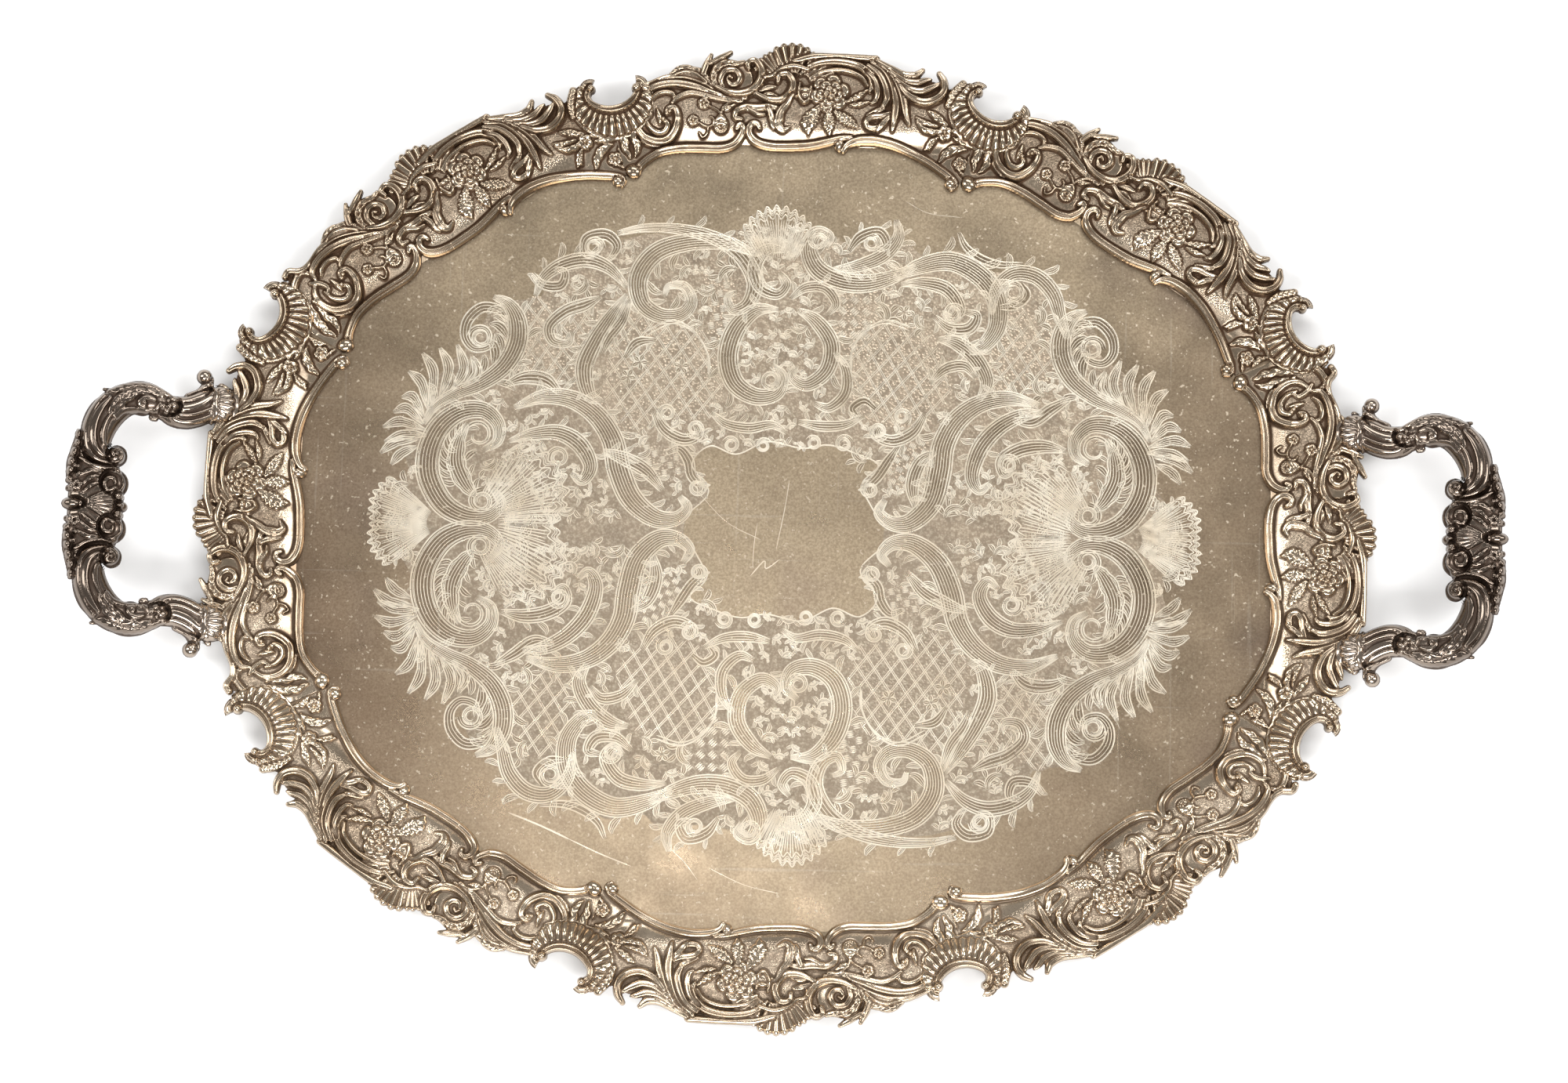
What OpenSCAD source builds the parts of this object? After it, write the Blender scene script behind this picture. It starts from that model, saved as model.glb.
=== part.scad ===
// Two-handled oval serving tray: a thin sheet with a raised flange, sixteen cast
// border sections in eight repeats round its edge, and two cast handles screwed
// on from beneath. Millimetres, +Z up. The origin is the middle of the underside.

/* [Border] */
// Chord of one border repeat, between its two inner scroll ends
section_chord = 175.6; // [150:0.2:200]
// Turn from the long side's repeat to the diagonal one, degrees
diagonal_turn = 34.3; // [30:0.1:40]
// Thickness of the border castings at their shell tips
casting_edge = 4; // [3:0.5:6]

/* [Sheet] */
// Thickness of the sheet
sheet_t = 1.5; // [1.2:0.1:2]
// Distance from a repeat's chord to the foot of the flange
flange_start = 20; // [18:0.5:22]
// Distance from a repeat's chord to the flat lip
lip_start = 31; // [29:0.5:31]
// Rise of the lip above the well
lip_rise = 7; // [5:0.2:8]

/* [Handles] */
// Rise of a handle's plane from its feet to its grip, degrees
handle_tilt = 17; // [10:0.5:20]
// Radius of the handle's tube
handle_r = 8; // [7:0.5:9]
// Radius of the small ball on top of the grip
boss_r = 5; // [4:0.5:5]

/* [Fixings] */
// Radius of a handle screw's shank
screw_r = 2; // [1.5:0.1:2.5]
// Radius of a screw's head
head_r = 4.2; // [4:0.2:5]

/* [Hidden] */
$fn = 48;
SECTIONS = 8;

// The scroll ends of the eight repeats stand on an octagon of equal sides.
half_chord = section_chord / 2;
long_side_y = half_chord + section_chord * sin(diagonal_turn);
end_side_x = half_chord + section_chord * cos(diagonal_turn);
end_turn = 90 - diagonal_turn;

// Heights
lip_top = sheet_t + lip_rise;
bead_top = sheet_t + 4.4;
cast_top = lip_top + 6;

// The fan at a repeat's clockwise end, and the rose, in the repeat's frame
fan_at = [104, 47];
fan_r = 24.5;
fan_lean = 31;
notch_r = 10.5;
mouth_w = 24;
mouth_d = 30;
rose_r = 7;

// Handle feet and screws, in the end repeat's frame
foot_along = 58;
foot_out = 56.5;
mitre_out = 32;
ear_r = 8;
pocket_r = 12;
shank_clear = 0.25;
washer_t = 0.8;
washer_r = 5;
head_h = 2.4;
screw_reach = 5;
foot_x = end_side_x + foot_out;

// Handle, flat in its own plane: x outward, y along the grip
tilt_x = 304;
handle_z = 13.4;
corner_at = [339, 37.5];
corner_radius = 20.5;
tube_sides = 12;
reach = 100;

// Turn of repeat k, clockwise from the long side at +Y, and the joint angles beside it
function turn(k) = floor(k / 4) * 180 + [0, diagonal_turn, 90, 180 - diagonal_turn][k % 4];
function joint(k) = (k % 4 == 0 || k % 4 == 1) ? diagonal_turn : end_turn;
function middle(k) =
    let (s = k >= 4 ? -1 : 1, m = k % 4)
    m == 0 ? [0, s * long_side_y] :
    m == 2 ? [s * end_side_x, 0] :
    s * [(half_chord + end_side_x) / 2, (m == 1 ? 1 : -1) * (long_side_y + half_chord) / 2];

// Sets children in the frame of repeat k: x runs clockwise, y outward
module in_repeat(k) {
    translate(middle(k)) rotate([0, 0, -turn(k)]) children();
}

// Plan of what belongs to repeat k, between its two mitre lines
module mitred_plan(k, inner, outer) {
    left = tan(joint(k) / 2);
    right = tan(joint((k + 1) % SECTIONS) / 2);
    polygon([
        [-half_chord - left * inner, inner], [-half_chord - left * outer, outer],
        [half_chord + right * outer, outer], [half_chord + right * inner, inner]]);
}

// Extrudes a section drawn in (outward, up) along a repeat
module along_repeat() {
    length = 2.8 * reach;
    translate([-length / 2, 0, 0]) rotate([90, 0, 90]) linear_extrude(length) children();
}

// ---- Sheet: one sheet of metal, divided at the foot of its flange and at the mitres

// Corner where repeats k - 1 and k meet, a distance out from their chords
function corner(k, out) =
    let (c = cos(-turn(k)), s = sin(-turn(k)), x = -half_chord - out * tan(joint(k) / 2))
    middle(k) + [x * c - out * s, x * s + out * c];

module tray_well() {
    color([0.74, 0.67, 0.54])
    linear_extrude(sheet_t) polygon([for (k = [0:SECTIONS - 1]) corner(k, flange_start)]);
}

// Section through the flange and the lip
module ledge_section() {
    polygon([
        [flange_start, 0], [lip_start, lip_rise], [reach, lip_rise],
        [reach, lip_top], [lip_start, lip_top], [flange_start, sheet_t]]);
}

// Ear that carries a handle foot, as a round bump in the lip's outline
function ear(side) = [for (a = [180:-22.5:0])
    [side * foot_along + ear_r * cos(a), foot_out + ear_r * sin(a)]];

// Outline of the lip along repeat k, inside the castings' own outline
function lip_edge(k) = k % 4 == 2
    ? concat([[-80, 44]], ear(-1), [[-42, 59], [-10, 64], [16, 62], [42, 60]], ear(1), [[78, 47]])
    : [[-80, 44], [-60, 52], [-42, 59], [-10, 64], [16, 62], [42, 60], [60, 52], [78, 47]];

module ledge_plan(k) {
    left = tan(joint(k) / 2);
    right = tan(joint((k + 1) % SECTIONS) / 2);
    polygon(concat(
        [[-half_chord - left * flange_start, flange_start], [-half_chord - left * mitre_out, mitre_out]],
        lip_edge(k),
        [[half_chord + right * mitre_out, mitre_out], [half_chord + right * flange_start, flange_start]]));
}

module tray_ledge(k) {
    color([0.74, 0.67, 0.54])
    difference() {
        in_repeat(k) intersection() {
            along_repeat() ledge_section();
            linear_extrude(reach) ledge_plan(k);
        }
        if (k % 4 == 2) screw_places()
            translate([0, 0, lip_rise - 1]) cylinder(r = screw_r + shank_clear, h = sheet_t + 2);
    }
}

module screw_places() {
    for (side = [0, 180], s = [-1, 1])
        rotate([0, 0, side]) translate([foot_x, s * foot_along, 0]) children();
}

// ---- Cast border sections

// Section through a casting, resting on the well, the flange and the lip
module cast_section() {
    polygon([
        [-6, sheet_t], [flange_start, sheet_t], [lip_start, lip_top], [reach, lip_top],
        [reach, lip_top + casting_edge - 1], [70, cast_top - 1], [52, cast_top],
        [44, cast_top - 0.8], [31, lip_top + 1.6], [24, bead_top + 0.6],
        [17, bead_top], [-6, bead_top - 0.8]]);
}

// Ring-shaped bead in plan order, used for the scrolls
module scroll_bead(at, radius, bead, from, sweep, z) {
    translate([at[0], at[1], z]) rotate([0, 0, from])
        rotate_extrude(angle = sweep) translate([radius, 0]) circle(r = bead, $fn = 24);
}

module bud_plan() {
    polygon([
        [-89, 2], [-82, 0.5], [-79, 7], [-72, 12], [-64, 15], [-36, 15], [-29, 17.5],
        [-25, 23], [-23.6, 27], [-22, 23], [-17, 18], [-9.5, 16.5], [-9.5, 22], [-4, 40],
        [-4, 74], [-9, 72], [-15, 70], [-24, 65], [-29, 63], [-35, 68.5], [-40, 65.5],
        [-45, 67], [-49, 58], [-58, 60], [-66, 56], [-80, 50], [-88, 52], [-93, 50],
        [-100, 30]]);
    translate([-85, 3.5]) circle(r = 4.2, $fn = 24);
}

module rose_plan() {
    difference() {
        union() {
            polygon([
                [-9.5, 16.5], [2, 16], [14, 18], [30, 20.5], [44, 20], [56, 17.5], [66, 13.5],
                [76, 6.5], [82, 1], [88, 0], [104, 30], [92, 51], [88, 54.5], [81, 54],
                [75, 59], [71, 54.5], [66, 60], [60, 56.5], [52, 59], [44, 64], [43, 67.5],
                [20, 67], [12, 72], [6, 70], [2, 74], [-4, 74], [-4, 40], [-9.5, 22]]);
            translate([24.3, 19.5]) circle(r = 3, $fn = 24);
            translate([83.8, 1]) circle(r = 4.2, $fn = 24);
            fan_plan();
        }
        fan_notch();
    }
}

module fan_plan() {
    translate(fan_at) circle(r = fan_r);
}

// The fan's open notch, a round bottom with a mouth that leans with the scroll
module fan_notch() {
    translate(fan_at) {
        circle(r = notch_r);
        rotate(-fan_lean) translate([0, mouth_d / 2]) square([mouth_w, mouth_d], center = true);
    }
}

// Everything of a casting that stands over its own plan
module cast_over(k) {
    intersection() {
        along_repeat() cast_section();
        linear_extrude(reach) intersection() {
            children();
            mitred_plan(k, -8, reach);
        }
    }
}

// Pocket in an end repeat's castings round each handle foot
module foot_pockets() {
    screw_places()
        translate([4, 0, lip_top]) cylinder(r = pocket_r, h = reach);
}

module bud_mount(k) {
    color([0.80, 0.76, 0.68])
    difference() {
        in_repeat(k) union() {
            cast_over(k) bud_plan();
            scroll_bead([-31, 54], 9, 2.2, 0, 360, cast_top - 0.6);
            scroll_bead([-66, 40], 11, 2, 60, 150, cast_top - 2.4);
        }
        in_repeat((k + SECTIONS - 1) % SECTIONS) linear_extrude(reach) fan_plan();
        if (k % 4 == 2) foot_pockets();
    }
}

module rose_mount(k) {
    color([0.80, 0.76, 0.68])
    difference() {
        in_repeat(k) union() {
            cast_over(k) rose_plan();
            fan_over();
            scroll_bead([24, 42], 19, 2.2, 20, 140, cast_top - 0.6);
            rose_dome([19, 46]);
        }
        if (k % 4 == 2) foot_pockets();
    }
}

module rose_dome(at) {
    intersection() {
        translate([at[0], at[1], cast_top - 4]) sphere(r = rose_r);
        translate([at[0] - reach, 0, lip_top + 0.5]) cube(2 * reach);
    }
}

// The fan reaches over the mitre line, so it has its own flat-bottomed solid
module fan_over() {
    translate([0, 0, lip_top]) linear_extrude(cast_top - lip_top) difference() {
        fan_plan();
        fan_notch();
    }
    scroll_bead(fan_at, notch_r + 2, 2.4, 138, 200, cast_top - 0.4);
}

// ---- Handles

// Swept tube along a flat path of [x, y, radius] stations
module swept_tube(stations) {
    n = len(stations);
    ahead = [for (i = [0:n - 1])
        let (d = stations[min(i + 1, n - 1)] - stations[max(i - 1, 0)]) [d[0], d[1]] / norm([d[0], d[1]])];
    polyhedron(
        points = [for (i = [0:n - 1], j = [0:tube_sides - 1])
            let (a = 360 * j / tube_sides, s = stations[i], d = ahead[i])
            [s[0] - d[1] * s[2] * cos(a), s[1] + d[0] * s[2] * cos(a), s[2] * sin(a)]],
        faces = concat(
            [for (i = [0:n - 2], j = [0:tube_sides - 1])
                let (k = (j + 1) % tube_sides, p = i * tube_sides, q = p + tube_sides)
                [p + j, q + j, q + k, p + k]],
            [[for (j = [0:tube_sides - 1]) j]],
            [[for (j = [tube_sides - 1:-1:0]) (n - 1) * tube_sides + j]]));
}

function on_corner(a) = corner_at + corner_radius * [cos(a), sin(a)];
function reversed(v) = [for (i = [len(v) - 1:-1:0]) v[i]];

// Half of the handle's centre line, from its foot to the middle of the grip
half_line = concat(
    [[291, 57.4, handle_r - 1.5], [298, 56, handle_r - 1], [303, 54.6, handle_r], [310, 53, handle_r - 0.4],
     [317, 52.2, handle_r - 0.4], [322, 52.6, handle_r + 0.8]],
    [for (a = [116:-12:-28]) [on_corner(a)[0], on_corner(a)[1], handle_r]],
    [[355.5, 21, handle_r + 0.8], [355.5, 13, handle_r + 1], [356, 6, handle_r + 0.4]]);

// Small scroll with a ball end, beside each foot
foot_scroll = concat(
    [for (a = [255:-15:195]) [316 + 11.5 * cos(a), 71 + 11.5 * sin(a), 3.6]],
    [[304.4, 70, 4], [304, 73, 4.6], [303.6, 76, 2.6]]);

module handle_flat() {
    swept_tube(concat(
        half_line, [[356.4, 0, handle_r + 1]],
        reversed([for (s = half_line) [s[0], -s[1], s[2]]])));
    for (side = [1, -1]) {
        swept_tube([for (s = foot_scroll) [s[0], side * s[1], s[2]]]);
        translate([347.5, side * 27, 0]) sphere(r = 5.5, $fn = 12);
        translate([349, side * 11, 0]) sphere(r = 7, $fn = 12);
    }
    translate([366.5, 0, 0]) sphere(r = boss_r, $fn = 12);
}

module handle() {
    difference() {
        union() {
            translate([tilt_x, 0, handle_z]) rotate([0, -handle_tilt, 0])
                translate([-tilt_x, 0, 0]) handle_flat();
            for (s = [-1, 1])
                translate([foot_x, s * foot_along, lip_top]) cylinder(r = 7, h = 9);
        }
        translate([foot_x - 20, -reach, lip_top - 20]) cube([28.5, 2 * reach, 20]);
        for (s = [-1, 1])
            translate([foot_x, s * foot_along, lip_top - 1])
                cylinder(r = screw_r + 0.05, h = screw_reach + 1.5);
    }
}

module right_handle() {
    color([0.55, 0.49, 0.42]) handle();
}

module left_handle() {
    color([0.55, 0.49, 0.42]) rotate([0, 0, 180]) handle();
}

// ---- Fixings under the lip

module handle_screws() {
    color([0.55, 0.50, 0.40])
    screw_places() {
        translate([0, 0, lip_rise - washer_t - head_h]) cylinder(r = head_r, h = head_h);
        translate([0, 0, lip_rise - washer_t - 0.1])
            cylinder(r = screw_r, h = washer_t + sheet_t + screw_reach + 0.1);
    }
}

module handle_washers() {
    color([0.60, 0.55, 0.45])
    screw_places()
        translate([0, 0, lip_rise - washer_t]) difference() {
            cylinder(r = washer_r, h = washer_t);
            translate([0, 0, -1]) cylinder(r = screw_r + shank_clear, h = washer_t + 2);
        }
}

tray_well();
left_handle();
right_handle();
handle_screws();
handle_washers();
for (k = [1:SECTIONS]) {
    tray_ledge(k - 1);
    bud_mount(k - 1);
    rose_mount(k - 1);
}
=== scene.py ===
# Oval two-handled tray: an engraved sheet, eight repeats of cast border in two
# sections each, and two cast handles. Flat patterns are in millimetres; objects in metres.
import math

import bpy
import numpy as np
from mathutils import Matrix, Vector
from mathutils.geometry import delaunay_2d_cdt


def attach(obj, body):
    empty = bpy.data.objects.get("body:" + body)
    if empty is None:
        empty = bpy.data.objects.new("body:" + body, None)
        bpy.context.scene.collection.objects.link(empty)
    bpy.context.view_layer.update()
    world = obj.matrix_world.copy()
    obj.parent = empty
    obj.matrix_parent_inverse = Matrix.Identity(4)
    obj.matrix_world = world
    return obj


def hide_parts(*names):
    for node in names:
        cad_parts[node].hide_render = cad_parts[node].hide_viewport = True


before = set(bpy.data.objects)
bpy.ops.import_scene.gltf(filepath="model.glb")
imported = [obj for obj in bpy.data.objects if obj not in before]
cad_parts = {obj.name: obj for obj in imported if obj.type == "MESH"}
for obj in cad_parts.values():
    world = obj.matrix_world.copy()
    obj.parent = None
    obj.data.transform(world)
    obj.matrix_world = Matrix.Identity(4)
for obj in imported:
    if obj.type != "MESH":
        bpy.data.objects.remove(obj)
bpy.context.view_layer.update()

MM = 0.001

# Driving sizes of the border, as the CAD has them
CHORD = 175.6
TURN = math.radians(34.3)
SHEET = 1.5
FLANGE_START = 20.0
LIP_START = 31.0
LIP_TOP = 8.5

# Handle plane
HANDLE_TILT = math.radians(17)
HANDLE_PIVOT = 304.0
HANDLE_HEIGHT = 13.2

# Grid steps of the reliefs
BORDER_STEP = 0.3
HANDLE_STEP = 0.36

# Handles: the share of the relief's drawn height that is kept, the share of the stock's height
# that is below the middle plane, and the depth of the underside's rounded rim
HANDLE_RELIEF = 0.9
HANDLE_UNDER = 0.85
HANDLE_RIM = 0.8
# The handles' feet rest on the lip up to here, in metres
FOOT_END = 0.2985

# Heights of the engraving's layers above the sheet's top face; a RISE is the step from one
# piece of a layer to the next, so that pieces which overlap don't share a plane
SCRATCH_LAYER = 0.004
GROUND_LAYER = 0.006
PANEL_LAYER = 0.0105
PANEL_RISE = 0.0004
PANEL_LINE_LAYER = 0.0145
LEAF_LAYER = 0.050
LEAF_RISE = 0.00005
STROKE_LAYER = 0.060


# ---- Relief engine: a height field that scrolls, leaves, petals and ribs are laid on

def curve(points, spacing=0.35):
    """Smooth line through given points (any number of columns): Catmull-Rom, evenly sampled."""
    p = np.array(points, float)
    p = np.vstack([2 * p[0] - p[1], p, 2 * p[-1] - p[-2]])
    out = []
    for i in range(1, len(p) - 2):
        n = max(2, int(np.linalg.norm(p[i + 1, :2] - p[i, :2]) / spacing))
        t = np.linspace(0, 1, n, endpoint=False)[:, None]
        a, b, c, d = p[i - 1], p[i], p[i + 1], p[i + 2]
        out.append(0.5 * (2 * b + (c - a) * t + (2 * a - 5 * b + 4 * c - d) * t**2
                          + (3 * b - a - 3 * c + d) * t**3))
    out.append(p[-2][None])
    return np.vstack(out)


class Relief:
    """A height field over a flat frame in millimetres: x along, y outward."""

    def __init__(self, low, high, step):
        self.step = step
        self.x = np.arange(low[0], high[0], step)
        self.y = np.arange(low[1], high[1], step)
        self.X, self.Y = np.meshgrid(self.x, self.y)
        self.h = np.zeros_like(self.X)
        self.edge = np.full_like(self.X, -9.0)

    def window(self, lo, hi):
        i = np.clip(np.searchsorted(self.x, [lo[0], hi[0]]), 0, len(self.x))
        j = np.clip(np.searchsorted(self.y, [lo[1], hi[1]]), 0, len(self.y))
        return np.s_[j[0]:j[1], i[0]:i[1]]

    def near(self, line, reach):
        """For the grid round a line: the window, place along it (0 to 1), signed distance, width."""
        w = self.window(line[:, :2].min(0) - reach, line[:, :2].max(0) + reach)
        X, Y = self.X[w], self.Y[w]
        best = np.full(X.shape, 1e9)
        which = np.zeros(X.shape, int)
        for k in range(0, len(line), 24):
            part = line[k:k + 24]
            d2 = (X[..., None] - part[:, 0])**2 + (Y[..., None] - part[:, 1])**2
            m = d2.argmin(-1)
            v = np.take_along_axis(d2, m[..., None], -1)[..., 0]
            hit = v < best
            best[hit] = v[hit]
            which[hit] = m[hit] + k
        ahead = np.gradient(line[:, :2], axis=0)
        ahead /= np.linalg.norm(ahead, axis=1)[:, None] + 1e-9
        dx, dy = X - line[which, 0], Y - line[which, 1]
        a = ahead[which]
        side = a[..., 0] * dy - a[..., 1] * dx
        run = np.concatenate([[0], np.cumsum(np.linalg.norm(np.diff(line[:, :2], axis=0), axis=1))])
        past = a[..., 0] * dx + a[..., 1] * dy
        ends = ((which == 0) & (past < 0)) | ((which == len(line) - 1) & (past > 0))
        t = run[which] + np.clip(past, -0.4, 0.4)
        d = np.where(ends, np.sqrt(best), np.abs(side))
        return w, t, np.where(side < 0, -d, d), line[which, 2], run[-1]

    def put(self, w, inside, height, lift):
        """Sets a feature over what is there; inside is the distance in from its rim."""
        h = self.h[w]
        on = inside > 0
        ditch = np.clip(1 + inside / 0.7, 0, 1) * ~on
        h -= ditch * 0.45
        h[on] = np.maximum(lift + height[on], h[on] * 0.25)
        self.edge[w] = np.maximum(self.edge[w], inside)

    def ribbon(self, points, height=2.4, lift=0.5, flutes=1, power=0.5, veins=0, cut=0.0,
               teeth=0, tooth=0.0, lean=0.0):
        """A raised scroll or leaf: [x, y, half width] points. flutes are ridges along it,
        veins are ribs across it, teeth and tooth notch its sides."""
        line = curve(points)
        widest = line[:, 2].max()
        w, t, d, half, length = self.near(line, widest + 2)
        if teeth:
            phase = (t / length * teeth + 0.25 * np.sign(d)) % 1
            half = half * (1 - tooth * (1 - np.abs(2 * phase - 1))**1.5)
        inside = half - np.abs(d)
        q = np.clip(np.abs(d) / np.maximum(half, 0.05), 0, 1)
        top = (1 - q**2)**power
        if flutes > 1:
            ridge = 0.5 - 0.5 * np.cos(2 * np.pi * flutes * (np.clip(d / np.maximum(half, .05),
                                                                     -1, 1) + 1) / 2)
            top = top * (0.55 + 0.45 * ridge)
        if cut:
            top = top * (1 - cut * np.exp(-(q / 0.28)**2))
        if veins:
            rib = 0.5 + 0.5 * np.cos(2 * np.pi * (veins * t / length - 0.9 * q))
            top = top * (0.68 + 0.32 * rib)
        full = np.clip(np.maximum(half, 0.3) / max(widest, 0.3), 0.25, 1)**0.7
        tilt = 1 + lean * np.clip(d / np.maximum(half, 0.05), -1, 1)
        self.put(w, inside, height * top * full * tilt, lift)

    def dome(self, at, radius, height=2.0, lift=0.5, squash=1.0, turn=0.0, power=0.5, ring=0.0):
        """A round or oval boss; ring hollows its middle."""
        r = radius * max(squash, 1) + 2
        w = self.window((at[0] - r, at[1] - r), (at[0] + r, at[1] + r))
        X, Y = self.X[w] - at[0], self.Y[w] - at[1]
        c, s = math.cos(math.radians(turn)), math.sin(math.radians(turn))
        u, v = X * c + Y * s, (Y * c - X * s) / squash
        q = np.hypot(u, v) / radius
        inside = (1 - q) * radius
        top = np.clip(1 - q**2, 0, 1)**power
        if ring:
            top = top * (1 - ring * np.exp(-(q / 0.45)**2))
        self.put(w, inside, height * top, lift)

    def petals(self, at, radius, count, size, height=1.6, lift=0.5, phase=0.0, squash=1.3, ring=0.45):
        for k in range(count):
            a = phase + 360 * k / count
            p = (at[0] + radius * math.cos(math.radians(a)), at[1] + radius * math.sin(math.radians(a)))
            self.dome(p, size, height, lift, squash, a, 0.6, ring)

    def fan(self, at, from_angle, to_angle, inner, outer, ribs, height=2.2, lift=0.6, lobes=0.06, fade=0.5):
        """Shell ribs spreading from a point."""
        w = self.window((at[0] - outer - 2, at[1] - outer - 2), (at[0] + outer + 2, at[1] + outer + 2))
        X, Y = self.X[w] - at[0], self.Y[w] - at[1]
        r = np.hypot(X, Y)
        a = (np.degrees(np.arctan2(Y, X)) - from_angle) % 360
        span = (to_angle - from_angle) % 360
        u = a / span
        rib = np.abs(np.sin(np.pi * ribs * u))
        far = outer * (1 - lobes * (1 - rib) - 0.05 * np.abs(2 * u - 1)**3)
        inside = np.minimum(np.minimum(r - inner, far - r), np.minimum(a, span - a) * np.radians(1) * r)
        inside = np.where(a <= span, inside, -9)
        s = np.clip((r - inner) / (outer - inner), 0, 1)
        curl = np.clip((far - r) / 2.2, 0, 1)**0.5
        top = (0.35 + 0.65 * rib**0.8) * (fade + (1 - fade) * s) * (0.35 + 0.65 * curl)
        self.put(w, inside, height * top, lift)

    def fringe(self, points, near_in, depth, ribs, height=1.8, lift=0.5, side=-1):
        """Gadroons that hang from one side of a scroll; points are [x, y, fringe depth]."""
        line = curve(points)
        w, t, d, deep, length = self.near(line, depth + 3)
        d = d * side
        rib = np.abs(np.sin(np.pi * ribs * t / length))
        far = deep * (0.9 + 0.1 * rib)
        along = np.minimum(t, length - t)
        inside = np.minimum(np.minimum(d - near_in, far - d), along + 1.0)
        s = np.clip((d - near_in) / np.maximum(far - near_in, 0.1), 0, 1)
        top = (0.25 + 0.75 * rib**0.7) * (0.5 + 0.5 * np.sin(np.pi * np.clip(s, 0.08, 0.92)))
        self.put(w, np.where(d > 0, inside, -9), height * top, lift)

    def ground(self, points):
        """Plain field inside an outline."""
        P = np.array(points, float)
        best = np.full(self.X.shape, 1e9)
        odd = np.zeros(self.X.shape, bool)
        for a, b in zip(P, np.roll(P, -1, 0)):
            e = b - a
            k = np.clip(((self.X - a[0]) * e[0] + (self.Y - a[1]) * e[1]) / (e @ e), 0, 1)
            best = np.minimum(best, np.hypot(self.X - a[0] - k * e[0], self.Y - a[1] - k * e[1]))
            if a[1] != b[1]:
                cross = (a[1] > self.Y) != (b[1] > self.Y)
                odd ^= cross & (self.X < (b[0] - a[0]) * (self.Y - a[1]) / (b[1] - a[1]) + a[0])
        self.edge = np.maximum(self.edge, np.where(odd, best, -best))


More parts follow.
